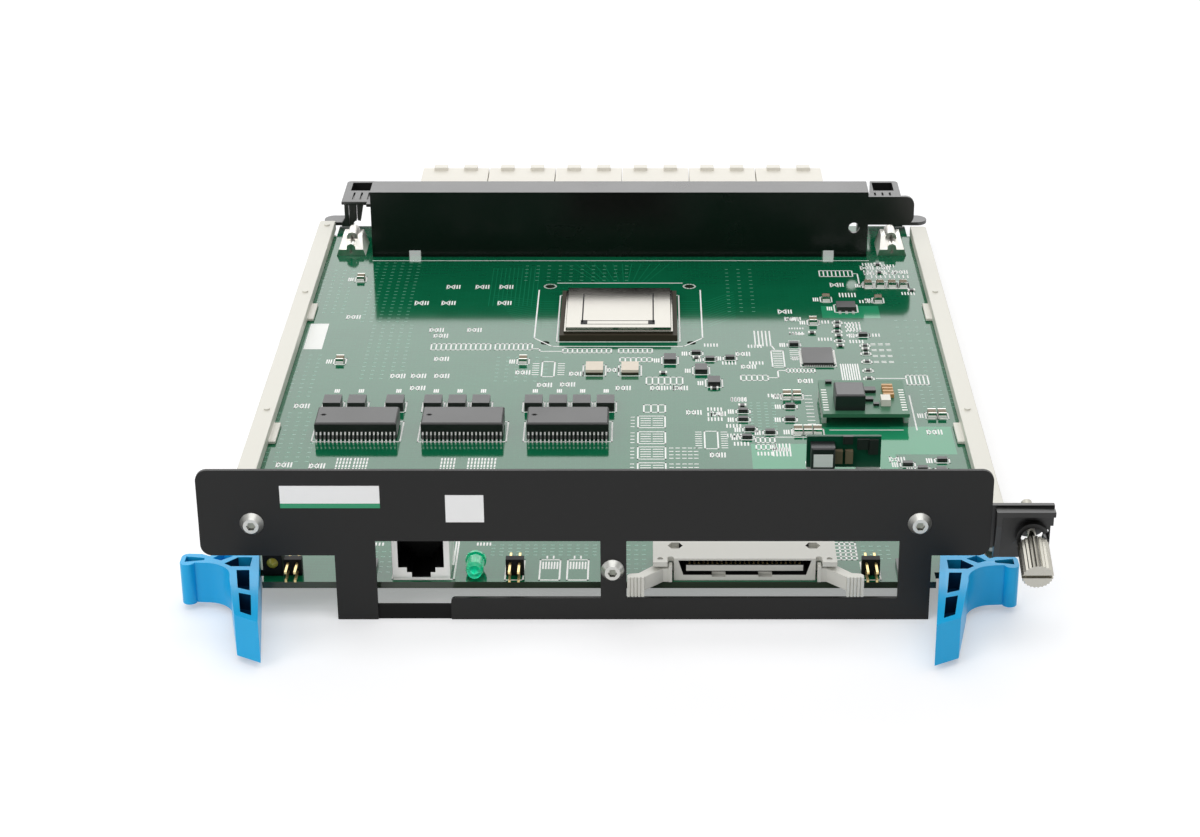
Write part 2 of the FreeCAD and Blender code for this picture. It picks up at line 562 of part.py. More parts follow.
def end_block(label, side, reach):
    """A moulded corner block behind the rail's end: a top plate with slits and a well, and a tapered
    front wall on a lugged base. An arm behind the stiffener stands it on the board."""
    body = new_body(label)

    def across(points):
        return [(f"{side} * ({x})", other) for x, other in points]

    def oblong(plane, at, left, low, right, high):
        corners = [(left, low), (right, low), (right, high), (left, high)]
        return outline(body, plane, at, across(corners))

    pad(body, oblong("XY_Plane", "end_top", "end_inner", "end_front", "end_outer", "end_back"),
        "end_plate", DOWN)
    front = [
        ("end_post_base", "end_low"), ("end_post_foot", "end_low"),
        ("end_post_foot", "end_low + lug_height"), ("end_post_outer", "end_low + lug_height + end_flare"),
        ("end_post_outer", "end_top - end_plate / 2"), ("end_post_inner", "end_top - end_plate / 2"),
    ]
    pad(body, outline(body, "XZ_Plane", "end_front + end_lip", across(front)), "end_post_depth", BACKWARD)
    pad(body, oblong("XY_Plane", "end_box_low", "end_inner", "end_well_front - end_plate", "end_outer",
                     "end_back"), "end_top - end_box_low", UP)
    lug_back = "lug_front + 2 * lug_half"
    tip = f"{reach} - lug_half"
    base = [
        ("lug_inner", "end_front + end_lip"), ("end_post_foot", "end_front + end_lip"),
        ("end_post_foot", "lug_front"), (tip, "lug_front"), (reach, "lug_front + lug_half"),
        (tip, lug_back), ("lug_inner", lug_back),
    ]
    rounded = {3: ("lug_half", side), 4: ("lug_half", side)}
    pad(body, outline(body, "XY_Plane", "end_low", across(base), rounded), "lug_height", UP)
    pad(body, oblong("XY_Plane", "end_top", "end_arm_inner", "end_leg_front", "end_inner + 1",
                     "end_arm_back"), "end_plate", DOWN)
    pad(body, oblong("XY_Plane", "0", "end_arm_inner", "end_leg_front", "end_arm_inner + end_leg_width",
                     "end_leg_back"), "end_top - end_plate / 2", UP)
    for gap in range(2):
        inner = f"end_gap_first + {gap} * end_gap_pitch"
        slot = oblong("XZ_Plane", "end_front", inner, "end_low + lug_height", f"{inner} + end_gap",
                      "end_top - end_plate")
        pocket(body, slot, "end_post_depth + end_lip", BACKWARD)
    passage = [(f"{side} * guide_x", "guide_axis")]
    pocket(body, circles(body, "XZ_Plane", "end_front", passage, "end_passage"),
           "end_post_depth + end_lip", BACKWARD)
    well = oblong("XY_Plane", "end_top", "end_well_inner", "end_well_front", "end_well_outer",
                  "end_well_front + end_well_length")
    pocket(body, well, "end_well_depth", DOWN)
    for slit in range(3):
        inner = f"end_well_inner + {slit} * end_slit_pitch"
        cut = oblong("XY_Plane", "end_top", inner, "end_slit_front", f"{inner} + end_slit",
                     "end_slit_front + end_slit_length")
        pocket(body, cut, "end_plate * 0.6", DOWN)
    upright = FreeCAD.Vector(0, 0, 1)
    corner = (side * size("end_outer"), size("end_back"))
    dress(body, "Fillet", "end_corner", lambda edge: straight_along(edge, upright)
          and math.dist(corner, (edge.CenterOfMass.x, edge.CenterOfMass.y)) < 0.01)
    keep(body, label)


def guide_socket(label, side):
    """A die-cast socket for a guide pin: a sloped toe that carries two slotted round-topped ribs."""
    body = new_body(label)
    section = [
        ("-guide_half", "0"), ("guide_half", "0"), ("guide_neck", "guide_shoulder"),
        ("-guide_neck", "guide_shoulder"),
    ]
    length = "guide_rear - guide_front"
    pad(body, outline(body, "XZ_Plane", "guide_front", section), length, BACKWARD)
    slope = [
        ("guide_front - 1", "guide_toe"), ("guide_front", "guide_toe"),
        ("guide_front + guide_slope", "guide_shoulder + 0.1"), ("guide_front - 1", "guide_shoulder + 0.1"),
    ]
    cut_through(body, outline(body, "YZ_Plane", "0", slope))
    ribs = [
        ("guide_front", "guide_rib", "guide_rib_high"),
        ("guide_front + guide_crest_front", "guide_crest", "guide_crest_high"),
    ]
    for front, half, high in ribs:
        arch = [
            (f"-{half}", "0.5"), (half, "0.5"), (half, high), ("0", f"{high} + {half}"), (f"-{half}", high),
        ]
        rounded = {2: (half, 1), 3: (half, 1)}
        pad(body, outline(body, "XZ_Plane", front, arch, rounded), f"guide_rear - ({front})", BACKWARD)
    for front, half, high in ribs:
        slot = rectangle(body, "XZ_Plane", front, "-guide_slot / 2", f"{high} - 2", "guide_slot / 2",
                         f"{high} + {half} / 2")
        pocket(body, slot, "guide_slot_depth", BACKWARD)
    bore = circles(body, "XZ_Plane", "guide_rear", [("0", "guide_axis")], "guide_bore")
    pocket(body, bore, "guide_bore_depth", FORWARD)
    keep(body, label, x=f"{side} * guide_x")


def backplane_connector(number):
    """A right-angle connector housing with upright contact slots in its rear face."""
    label = f"backplane_connector_{number + 1}"
    body = new_body(label)
    profile = [
        ("connector_front", "0"), ("board_depth", "0"), ("board_depth", "-connector_lip"),
        ("connector_back", "-connector_lip"), ("connector_back", "connector_height"),
        ("connector_front + connector_slope", "connector_height"),
        ("connector_front", "connector_height - connector_slope"),
    ]
    width = "connector_pitch - connector_gap"
    pad(body, outline(body, "YZ_Plane", f"-({width}) / 2", profile), width, 1)
    first = "-contact_pitch * (contact_slots - 1) / 2"
    slot = rectangle(body, "XZ_Plane", "connector_back", f"{first} - contact_slot / 2", "contact_low",
                     f"{first} + contact_slot / 2", "contact_high")
    cut = pocket(body, slot, "contact_depth", FORWARD)
    repeat_along(body, cut, "X_Axis", "contact_pitch * (contact_slots - 1)", "contact_slots")
    for offset in ("-key_offset", "key_offset"):
        key = rectangle(body, "XY_Plane", "connector_height", f"{offset} - key_width / 2",
                        "connector_back - key_length", f"{offset} + key_width / 2", "connector_back")
        pad(body, key, "key_height", UP)
    keep(body, label, x=f"({number} - (connector_count - 1) / 2) * connector_pitch")


def ejector_lever(label, side, pivot_x, pivot_y):
    """A moulded ejector: a cored handle, a hooked toe, and a forked hub that straddles the board."""
    body = new_body(label)

    def turned(points):
        return [(f"{side} * ({x})", y) for x, y in points]

    edge = [
        ("10.9", "-43.8"), ("4.0", "-39.8"), ("-0.4", "-18.9"),
        ("-0.4 - heel_radius", "-18.9 + heel_radius"), ("-11.3", "-10.5"), ("-15.4", "-10.4"),
        ("-15.4", "-7.2"), ("-15.4 + toe_corner", "-7.2 + toe_corner"), ("-10.0", "-5.4"),
        ("-7.6", "-6.6"), ("-hub_radius * 0.9636", "-hub_radius * 0.2674"),
        ("0", "hub_radius"), ("hub_radius * 0.9912", "hub_radius * 0.1324"),
    ]
    bends = {2: ("heel_radius", side), 4: ("toe_radius", -side), 6: ("toe_corner", -side),
             10: ("hub_radius", -side), 11: ("hub_radius", -side)}
    plan = outline(body, "XY_Plane", "lever_low", turned(edge), bends)
    pad(body, plan, "lever_top - lever_low", UP)
    handle_cores = [
        [("1.0", "-14.8"), ("4.5", "-14.8"), ("6.25", "-26.3"), ("2.8", "-24.8")],
        [("3.5", "-27.7"), ("6.9", "-28.9"), ("8.6", "-40.0"), ("5.4", "-38.1")],
    ]
    hub_cores = [
        [("-2.9", "-11.0"), ("0.4", "-7.4"), ("4.3", "-7.4"), ("4.4", "-12.6"), ("-0.9", "-12.6")],
        [("-14.1", "-10.0"), ("-8.9", "-9.0"), ("-8.9", "-7.8"), ("-14.1", "-6.9")],
        [("-6.6", "-7.9"), ("-4.2", "-9.2"), ("-1.2", "-6.7"), ("-4.2", "-4.9")],
    ]
    for cores, depth in ((handle_cores, "handle_core_depth"), (hub_cores, "core_depth")):
        for core in cores:
            pocket(body, outline(body, "XY_Plane", "lever_top", turned(core)), depth, DOWN)
            pocket(body, outline(body, "XY_Plane", "lever_low", turned(core)), depth, UP)
    fork = [("-7.2", "-8.2"), ("8.4", "-8.2"), ("8.4", "8.0"), ("-7.2", "8.0")]
    slot = outline(body, "XY_Plane", "lever_slot_high", turned(fork))
    pocket(body, slot, "lever_slot_high - lever_slot_low", DOWN)
    cut_through(body, circles(body, "XY_Plane", "0", [("0", "0")], "pivot_radius + pivot_play"))
    keep(body, label, x=pivot_x, y=pivot_y)


def lever_pin(label, pivot_x, pivot_y):
    """A pivot pin pressed through the board, with a head above its lever."""
    body = new_body(label)
    reach = "pivot_radius + 1.1"
    above = "lever_top + 0.3"
    below = "lever_low - 0.3"
    profile = [
        ("0", below), ("pivot_radius", below), ("pivot_radius", above), (reach, above),
        (reach, f"{above} + pivot_head"), ("0", f"{above} + pivot_head"),
    ]
    revolve(body, outline(body, "XZ_Plane", "0", profile), "V_Axis")
    keep(body, label, x=pivot_x, y=pivot_y)


def thumbscrew_bracket():
    """A folded ear behind the bezel's right end, hooded over the hole for the captive screw."""
    body = new_body("thumbscrew_bracket")
    plate = [
        ("ear_plate_left", "ear_tab_low"), ("hood_left", "ear_tab_low"), ("hood_left", "hood_low"),
        ("ear_step_x", "hood_low"), ("ear_step_x", "ear_step_z"), ("hood_right", "ear_step_z"),
        ("hood_right", "hood_high"), ("ear_plate_left", "hood_high"),
    ]
    pad(body, outline(body, "XZ_Plane", "bezel_back", plate), "ear_plate_sheet", BACKWARD)
    roof = rectangle(body, "XY_Plane", "hood_high - hood_rim", "hood_left", "hood_front", "hood_right",
                     "bezel_back + ear_plate_sheet")
    pad(body, roof, "hood_sheet", DOWN)
    cheek = [("hood_front", "hood_high - hood_rim"), ("hood_front", "hood_high - 5"),
             ("bezel_back", "hood_low"), ("bezel_back", "hood_high - hood_rim")]
    pad(body, outline(body, "YZ_Plane", "hood_left", cheek), "hood_sheet", 1)
    boss = circles(body, "XZ_Plane", "bezel_back", [("thumb_x", "thumb_z")], "thumb_boss")
    pad(body, boss, "thumb_boss_length", FORWARD)
    cut_through(body, circles(body, "XZ_Plane", "bezel_back", [("thumb_x", "thumb_z")], "thumb_hole"))
    cut_through(body, circles(body, "XZ_Plane", "bezel_back", [("ear_hole_x", "ear_hole_z")],
                              "ear_hole_radius"))
    keep(body, "thumbscrew_bracket")


def tilt(piece):
    """Let a piece of the captive screw hang forward and down in its oversize hole."""
    turn = FreeCAD.Rotation(FreeCAD.Vector(1, 0, 0), size("thumb_tilt"))
    piece.Placement = FreeCAD.Placement(FreeCAD.Vector(), turn)


def thumbscrew():
    """A fluted knob with a driver slot, a thin neck through the ear, and a plain shank for the thread."""
    body = new_body("thumbscrew")
    knob_end = "thumb_start - thumb_knob_length"
    shoulder = "ring_place + ring_sheet"
    profile = [
        ("0", "thumb_shank_length"), ("thumb_shank", "thumb_shank_length"), ("thumb_shank", shoulder),
        ("thumb_neck", shoulder),
        ("thumb_neck", "thumb_start - 1"), ("0", "thumb_start - 1"),
    ]
    revolve(body, outline(body, "XY_Plane", "0", profile), "V_Axis")
    flutes = round(size("flute_count"))
    edge = []
    for half in range(2 * flutes):
        turn = math.pi * half / flutes
        reach = "thumb_knob" if half % 2 else "(thumb_knob - flute_depth)"
        edge.append((f"{reach} * {math.cos(turn):.5f}", f"{reach} * {math.sin(turn):.5f}"))
    pad(body, outline(body, "XZ_Plane", "thumb_start", edge), "thumb_knob_length", FORWARD)
    slot = rectangle(body, "XZ_Plane", knob_end, "-thumb_knob", "-thumb_slot / 2", "thumb_knob",
                     "thumb_slot / 2")
    pocket(body, slot, "thumb_slot_depth", BACKWARD)
    tilt(body)
    keep(body, "thumbscrew", x="thumb_x", y="bezel_back + ear_plate_sheet / 2", z="thumb_z")


def thumbscrew_ring():
    """The snap ring behind the ear that keeps the screw captive."""
    body = new_body("thumbscrew_ring")
    profile = [
        ("thumb_neck", "ring_place"), ("ring_radius", "ring_place"),
        ("ring_radius", "ring_place + ring_sheet"), ("thumb_neck", "ring_place + ring_sheet"),
    ]
    revolve(body, outline(body, "XY_Plane", "0", profile), "V_Axis")
    tilt(body)
    keep(body, "thumbscrew_ring", x="thumb_x", y="bezel_back + ear_plate_sheet / 2", z="thumb_z")


def network_jack():
    body = new_body("network_jack")
    half = "jack_width / 2"
    pad(body, rectangle(body, "XZ_Plane", "jack_front", f"-{half}", "0", half, "jack_height"),
        "jack_depth", BACKWARD)
    mouth = [
        ("jack_mouth / 2", "jack_mouth_low"), ("jack_mouth / 2", "jack_mouth_high"),
        ("-jack_mouth / 2", "jack_mouth_high"), ("-jack_mouth / 2", "jack_mouth_low"),
        ("-jack_step_width / 2", "jack_mouth_low"), ("-jack_step_width / 2", "jack_step_low"),
        ("-jack_latch_width / 2", "jack_step_low"), ("-jack_latch_width / 2", "jack_latch_low"),
        ("jack_latch_width / 2", "jack_latch_low"), ("jack_latch_width / 2", "jack_step_low"),
        ("jack_step_width / 2", "jack_step_low"), ("jack_step_width / 2", "jack_mouth_low"),
    ]
    pocket(body, outline(body, "XZ_Plane", "jack_front", mouth), "jack_mouth_depth", BACKWARD)
    keep(body, "network_jack", x="jack_x")


def jack_contacts():
    """Eight spring wires that slope down from the roof of the jack's mouth."""
    front = size("jack_front + 2.6")
    back = size("jack_front + jack_mouth_depth")
    high = size("jack_wire_high")
    low = size("jack_wire_low")
    wire = size("jack_wire")
    wires = []
    for number in range(8):
        left = size(f"({number} - 3.5) * jack_wire_pitch - jack_wire / 2")
        points = [FreeCAD.Vector(left, front, high - wire), FreeCAD.Vector(left, back, low),
                  FreeCAD.Vector(left, back, low + wire), FreeCAD.Vector(left, front, high)]
        wires.append(extruded(points, FreeCAD.Vector(wire, 0, 0)))
    piece = doc.addObject("Part::Feature", "jack_contacts")
    piece.Shape = Part.makeCompound(wires)
    keep(piece, "jack_contacts", x="jack_x")


def status_lamp():
    """A round lamp that lies on the board with its dome to the front, and its two bent legs."""
    body = new_body("status_lamp")
    profile = [
        ("0", "0"), ("lamp_radius * 0.8", "lamp_radius * 0.36"), ("lamp_radius", "lamp_radius"),
        ("lamp_radius", "lamp_length - lamp_rim_length"), ("lamp_rim", "lamp_length - lamp_rim_length"),
        ("lamp_rim", "lamp_length"), ("0", "lamp_length"),
    ]
    revolve(body, outline(body, "XY_Plane", "0", profile), "V_Axis")
    keep(body, "status_lamp", x="lamp_x", y="lamp_front", z="lamp_axis")
    back = size("lamp_front + lamp_length")
    reach = size("leg_reach")
    wire = size("leg_width")
    axis = size("lamp_axis")
    legs = []
    for side in (-0.5, 0.5):
        left = size(f"{side} * leg_pitch - leg_width / 2")
        points = [FreeCAD.Vector(left, back, axis - wire / 2),
                  FreeCAD.Vector(left, back + reach - wire, axis - wire / 2),
                  FreeCAD.Vector(left, back + reach - wire, 0), FreeCAD.Vector(left, back + reach, 0),
                  FreeCAD.Vector(left, back + reach, axis + wire / 2),
                  FreeCAD.Vector(left, back, axis + wire / 2)]
        legs.append(extruded(points, FreeCAD.Vector(wire, 0, 0)))
    piece = doc.addObject("Part::Feature", "status_lamp_legs")
    piece.Shape = Part.makeCompound(legs)
    keep(piece, "status_lamp_legs", x="lamp_x")


def indicator():
    """A square black lamp holder with a round lens in its face."""
    body = new_body("indicator_housing")
    half = "indicator_width / 2"
    pad(body, rectangle(body, "XZ_Plane", "indicator_front", f"-{half}", "0", half, "indicator_height"),
        "indicator_depth", BACKWARD)
    seat = circles(body, "XZ_Plane", "indicator_front", [("0", "indicator_axis")], "indicator_lens")
    pocket(body, seat, "indicator_reach", BACKWARD)
    keep(body, "indicator_housing", x="indicator_x")
    lens = new_body("indicator_lens")
    profile = [
        ("0", "-indicator_reach * 0.4"), ("indicator_lens", "indicator_reach * 0.3"),
        ("indicator_lens", "indicator_reach"), ("0", "indicator_reach"),
    ]
    revolve(lens, outline(lens, "XY_Plane", "0", profile), "V_Axis")
    keep(lens, "indicator_lens", x="indicator_x", y="indicator_front", z="indicator_axis")


def pin_header_block(place):
    """The moulded block of a two by two right-angle pin header."""
    body = new_body(f"pin_header_{place}")
    half = "header_pitch"
    pad(body, rectangle(body, "XZ_Plane", "header_front", f"-{half}", "0", half, "header_height"),
        "header_depth", BACKWARD)
    for side in ("-", ""):
        for low in (0, 1):
            middle = (f"{side}header_pitch / 2", f"pin_low + {low} * header_pitch")
            hole = rectangle(body, "XZ_Plane", "header_front", f"{middle[0]} - pin_width / 2",
                             f"{middle[1]} - pin_width / 2", f"{middle[0]} + pin_width / 2",
                             f"{middle[1]} + pin_width / 2")
            cut_through(body, hole)
    body.setExpression("Placement.Base.x", cells(f"header_{place}_x"))
    return body


def pin_headers():
    group("pin_headers", [pin_header_block(place) for place in HEADERS])


def header_pins():
    """Square pins: straight out to the front, and bent down to the board behind the blocks."""
    front = size("header_front - pin_reach")
    back = size("header_front + header_depth")
    wire = size("pin_width")
    pins = []
    for place in HEADERS:
        for side in (-0.5, 0.5):
            left = size(f"header_{place}_x + {side} * header_pitch - pin_width / 2")
            for level in (0, 1):
                middle = size(f"pin_low + {level} * header_pitch")
                tail = back + size(f"pin_tail * (0.5 + {level})")
                points = [FreeCAD.Vector(left, front, middle - wire / 2),
                          FreeCAD.Vector(left, tail - wire, middle - wire / 2),
                          FreeCAD.Vector(left, tail - wire, 0), FreeCAD.Vector(left, tail, 0),
                          FreeCAD.Vector(left, tail, middle + wire / 2),
                          FreeCAD.Vector(left, front, middle + wire / 2)]
                pins.append(extruded(points, FreeCAD.Vector(wire, 0, 0)))
    piece = doc.addObject("Part::Feature", "header_pins")
    piece.Shape = Part.makeCompound(pins)
    keep(piece, "header_pins")


def ribbon_header():
    """A shrouded ribbon-cable header: a keyed mouth with a tongue, and an ear over each latch."""
    body = new_body("ribbon_header")
    pad(body, rectangle(body, "XZ_Plane", "ribbon_front", "-ribbon_half", "0", "ribbon_half",
                        "ribbon_height"), "ribbon_back - ribbon_front", BACKWARD)
    mouth = [
        ("-mouth_half_low", "mouth_low"), ("mouth_half_low", "mouth_low"),
        ("mouth_half_top", "mouth_high"), ("-mouth_half_top", "mouth_high"),
    ]
    pocket(body, outline(body, "XZ_Plane", "ribbon_front", mouth), "mouth_depth", BACKWARD)
    for key in ("mouth_key_first", "mouth_key_second"):
        notch = rectangle(body, "XZ_Plane", "ribbon_front", f"{key} - mouth_key_half", "mouth_key_low",
                          f"{key} + mouth_key_half", "mouth_low + 0.1")
        pocket(body, notch, "mouth_key_depth", BACKWARD)
    tongue = rectangle(body, "XZ_Plane", "ribbon_front + mouth_depth", "-tongue_half", "tongue_low",
                       "tongue_half", "tongue_high")
    pad(body, tongue, "tongue_length", FORWARD)
    for side in (-1, 1):
        ear = rectangle(body, "XY_Plane", "0", f"{side} * (latch_arch_x + latch_arch)", "ribbon_ear_front",
                        f"{side} * ribbon_half", "ribbon_front + 1")
        pad(body, ear, "ribbon_height", UP)
        slot = rectangle(body, "XZ_Plane", "ribbon_ear_front", f"{side} * latch_slot_inner", "-0.1",
                         f"{side} * (ribbon_half + 1)", "latch_slot_high")
        pocket(body, slot, "ribbon_front - ribbon_ear_front + latch_slot_depth", BACKWARD)
        arch = [
            (f"{side} * (latch_arch_x - latch_arch)", "ribbon_front - 1"),
            (f"{side} * (latch_arch_x + latch_arch)", "ribbon_front - 1"),
            (f"{side} * (latch_arch_x + latch_arch)", "ribbon_front + latch_arch_reach - latch_arch"),
            (f"{side} * latch_arch_x", "ribbon_front + latch_arch_reach"),
            (f"{side} * (latch_arch_x - latch_arch)", "ribbon_front + latch_arch_reach - latch_arch"),
        ]
        rounded = {2: ("latch_arch", side), 3: ("latch_arch", side)}
        opening = outline(body, "XY_Plane", "ribbon_height", arch, rounded)
        pocket(body, opening, "ribbon_height - latch_slot_high + 0.1", DOWN)
        recess = regular(6, "nut_recess_radius", f"{side} * nut_recess_x", "nut_recess_y")
        pocket(body, outline(body, "XY_Plane", "ribbon_height", recess), "nut_recess_depth", DOWN)
    pivots = [(f"{side} * latch_pivot_x", "latch_pivot_y") for side in (-1, 1)]
    cut_through(body, circles(body, "XY_Plane", "ribbon_height", pivots, "latch_pin"))
    keep(body, "ribbon_header", x="ribbon_x")


def ribbon_contacts():
    """Contact strips along the upper and lower faces of the tongue."""
    back = size("ribbon_front + mouth_depth")
    length = size("tongue_length - 0.8")
    width = size("ribbon_contact")
    rise = size("ribbon_contact_height")
    strips = []
    for number in range(round(size("ribbon_ways"))):
        left = size(f"({number} - (ribbon_ways - 1) / 2) * ribbon_pitch - ribbon_contact / 2")
        for low in (size("tongue_high"), size("tongue_low") - rise):
            strips.append(Part.makeBox(width, length, rise, FreeCAD.Vector(left, back - length, low)))
    piece = doc.addObject("Part::Feature", "ribbon_contacts")
    piece.Shape = Part.makeCompound(strips)
    keep(piece, "ribbon_contacts", x="ribbon_x")


def ribbon_latch(label, side):
    """A latch that stands open: a slanted arm with a grooved thumb grip, and a fin that grips the plug."""
    body = new_body(label)
    arm = [
        ("0.8", "-1.3"), ("-4.3", "-6.2"), ("-6.4", "-4.4"), ("-1.3", "1.1"), ("0.4", "1.5"),
        ("3.3", "0.9"), ("3.3", "-1.3"),
    ]
    fin = [("2.3", "-1.5"), ("3.3", "-1.5"), ("3.3", "0.9"), ("2.3", "0.9")]
    grip = [("-5.4", "-4.2"), ("-8.4", "-4.6"), ("grip_outer", "-5.4"), ("grip_outer", "grip_front")]
    grooves = 4
    for groove in range(grooves):
        middle = f"grip_outer + (grip_inner - grip_outer) * {groove + 1} / {grooves + 1}"
        grip.append((f"{middle} - grip_groove / 2", "grip_front"))
        grip.append((middle, "grip_front + grip_groove"))
        grip.append((f"{middle} + grip_groove / 2", "grip_front"))
    grip += [("grip_inner", "grip_front"), ("grip_inner", "-5.6")]
    for edge, low, high in ((arm, "latch_low", "latch_high"), (fin, "latch_low", "latch_fin_high"),
                            (grip, "grip_low", "grip_high")):
        turned = [(f"{-side} * ({x})", y) for x, y in edge]
        pad(body, outline(body, "XY_Plane", low, turned), f"{high} - {low}", UP)
    cut_through(body, circles(body, "XY_Plane", "latch_low", [("0", "0")], "latch_pin + latch_play"))
    keep(body, label, x=f"ribbon_x + {side} * latch_pivot_x", y="latch_pivot_y")


def latch_pins():
    pins = []
    for side in (-1, 1):
        pin = doc.addObject("Part::Cylinder", "latch_pin")
        bind(pin, Radius="latch_pin", Height="ribbon_height - 0.4")
        pin.setExpression("Placement.Base.x", cells(f"ribbon_x + {side} * latch_pivot_x"))
        pin.setExpression("Placement.Base.y", cells("latch_pivot_y"))
        pins.append(pin)
    group("latch_pins", pins)


def switch_chip():
    base = block_on("chip_base_block", "chip_base", "chip_base", "chip_base_height + chip_stand",
                    ("chip_x", "chip_y"))
    group("switch_chip_base", [base])
    body = new_body("switch_chip_lid")
    under = "chip_base_height + chip_stand"
    half = "chip_lid / 2"
    pad(body, rectangle(body, "XY_Plane", under, f"-{half}", f"-{half}", half, half),
        "chip_lid_lip_height", UP)
    crown = f"({half} - chip_lid_lip)"
    top = rectangle(body, "XY_Plane", under, f"-{crown}", f"-{crown}", crown, crown)
    pad(body, top, "chip_lid_height", UP)
    keep(body, "switch_chip_lid", x="chip_x", y="chip_y")


def line_transformer(number, x):
    label = f"line_transformer_{number + 1}"
    body = new_body(label)
    half = "module_width / 2"
    pad(body, rectangle(body, "XY_Plane", "module_stand", f"-{half}", "0", half, "module_depth"),
        "module_height - module_stand", UP)
    top = size("module_height")
    dress(body, "Chamfer", "module_chamfer", lambda edge: abs(edge.CenterOfMass.z - top) < 0.01)
    keep(body, label, x=str(x), y="module_front")


def gull_lead(x, y, toward, width, shoulder, reach, foot, metal):
    """One lead that slopes from a package's side down to the board."""
    left = x - width / 2
    run = [(0, shoulder), (reach + foot, 0), (reach + foot - 1.4 * metal, 0), (0, shoulder - metal)]
    points = [FreeCAD.Vector(left, y + toward * out, up) for out, up in run]
    return extruded(points, FreeCAD.Vector(width, 0, 0))


def transformer_leads():
    leads = []
    for x in MODULES:
        for number in range(round(size("module_leads"))):
            place = x + size(f"({number} - (module_leads - 1) / 2) * lead_pitch")
            for side, y in ((FORWARD, "module_front"), (BACKWARD, "module_front + module_depth")):
                leads.append(gull_lead(place, size(y), side, size("lead_width"), size("lead_shoulder"),
                                       size("lead_reach"), size("lead_foot"), size("lead_sheet")))
    piece = doc.addObject("Part::Feature", "transformer_leads")
    piece.Shape = Part.makeCompound(leads)
    keep(piece, "transformer_leads")


def line_suppressors():
    pieces = []
    for number, x in enumerate(SUPPRESSORS):
        pieces.append(block_on(f"suppressor_{number}", "suppressor_width", "suppressor_depth",
                               "suppressor_height", (x, "suppressor_y")))
    group("line_suppressors", pieces)


def flat_converter():
    """A small converter board that lies on posts above the main board, with its coil."""
    board = block("flat_board", "plate_right - plate_left", "plate_rear - plate_front", "plate_sheet",
                  "plate_left", "plate_front", "plate_low")
    group("converter_plate", [board])
    posts = []
    for number in range(round(size("plate_posts"))):
        y = f"plate_front + 3 + {number} * (plate_rear - plate_front - 6 - plate_post) / (plate_posts - 1)"
        for x in ("plate_left", "plate_right - plate_post"):
            posts.append(block("plate_post", "plate_post", "plate_post", "plate_low", x, y, "0"))
    group("converter_posts", posts)
    body = new_body("converter_coil")
    pad(body, rectangle(body, "XY_Plane", "plate_low + plate_sheet", "coil_left", "coil_front",
                        "coil_left + coil_width", "coil_front + coil_depth"), "coil_height", UP)
    top = size("plate_low + plate_sheet + coil_height")
    dress(body, "Chamfer", "module_chamfer", lambda edge: abs(edge.CenterOfMass.z - top) < 0.01)
    keep(body, "converter_coil")


def upright_converter():
    """A small converter board that stands on edge in two feet, with a choke on its front face."""
    board = block("upright_panel", "upright_right - upright_left", "upright_sheet",
                  "upright_top - upright_low", "upright_left", "upright_y", "upright_low")
    group("upright_board", [board])
    body = new_body("upright_choke")
    pad(body, rectangle(body, "XZ_Plane", "upright_y", "choke_left", "choke_low",
                        "choke_left + choke_width", "choke_low + choke_height"), "choke_depth", FORWARD)
    front = size("upright_y - choke_depth")
    dress(body, "Chamfer", "module_chamfer", lambda edge: abs(edge.CenterOfMass.y - front) < 0.01)
    keep(body, "upright_choke")
    feet = []
    for x in ("upright_left", "upright_right - upright_foot_length"):
        feet.append(block("upright_foot", "upright_foot_length", "upright_foot", "upright_low", x,
                          "upright_y + upright_sheet / 2 - upright_foot / 2", "0"))
    group("upright_feet", feet)


def chip_leads():
    """Flat leads of the memory chip and of the regulator with its tab."""
    leads = []
    for number in range(round(size("flash_leads"))):
        y = f"flash_y + ({number} - (flash_leads - 1) / 2) * flash_lead_pitch - lead_sheet / 2"
        for x in ("flash_x - flash_width / 2 - flash_lead_reach", "flash_x + flash_width / 2"):
            leads.append(block("flash_lead", "flash_lead_reach", "lead_sheet", "lead_sheet", x, y, "0"))
    front = "regulator_y - regulator_depth / 2"
    for number in (-1, 0, 1):
        leads.append(block("regulator_lead", "regulator_lead", "regulator_lead_reach", "lead_sheet",
                           f"regulator_x + {number} * regulator_lead_pitch - regulator_lead / 2",
                           f"{front} - regulator_lead_reach", "0"))
    leads.append(block("regulator_tab", "regulator_tab", "regulator_lead_reach", "lead_sheet",
                       "regulator_x - regulator_tab / 2", "regulator_y + regulator_depth / 2", "0"))
    group("chip_leads", leads)


def small_parts():
    kinds = [
        ("chip_capacitors", [("capacitor", CAPACITORS)]),
        ("chip_resistors", [("resistor", RESISTORS)]),
        ("clock_crystals", [("crystal", CRYSTALS)]),
        ("small_chips", [("driver", DRIVERS), ("switch", SWITCHES),
                         ("flash", [("flash_x", "flash_y")]),
                         ("regulator", [("regulator_x", "regulator_y")])]),
    ]
    for label, families in kinds:
        pieces = []
        for kind, places in families:
            for place in places:
                pieces.append(block_on(kind, f"{kind}_width", f"{kind}_depth", f"{kind}_height", place))
        group(label, pieces)


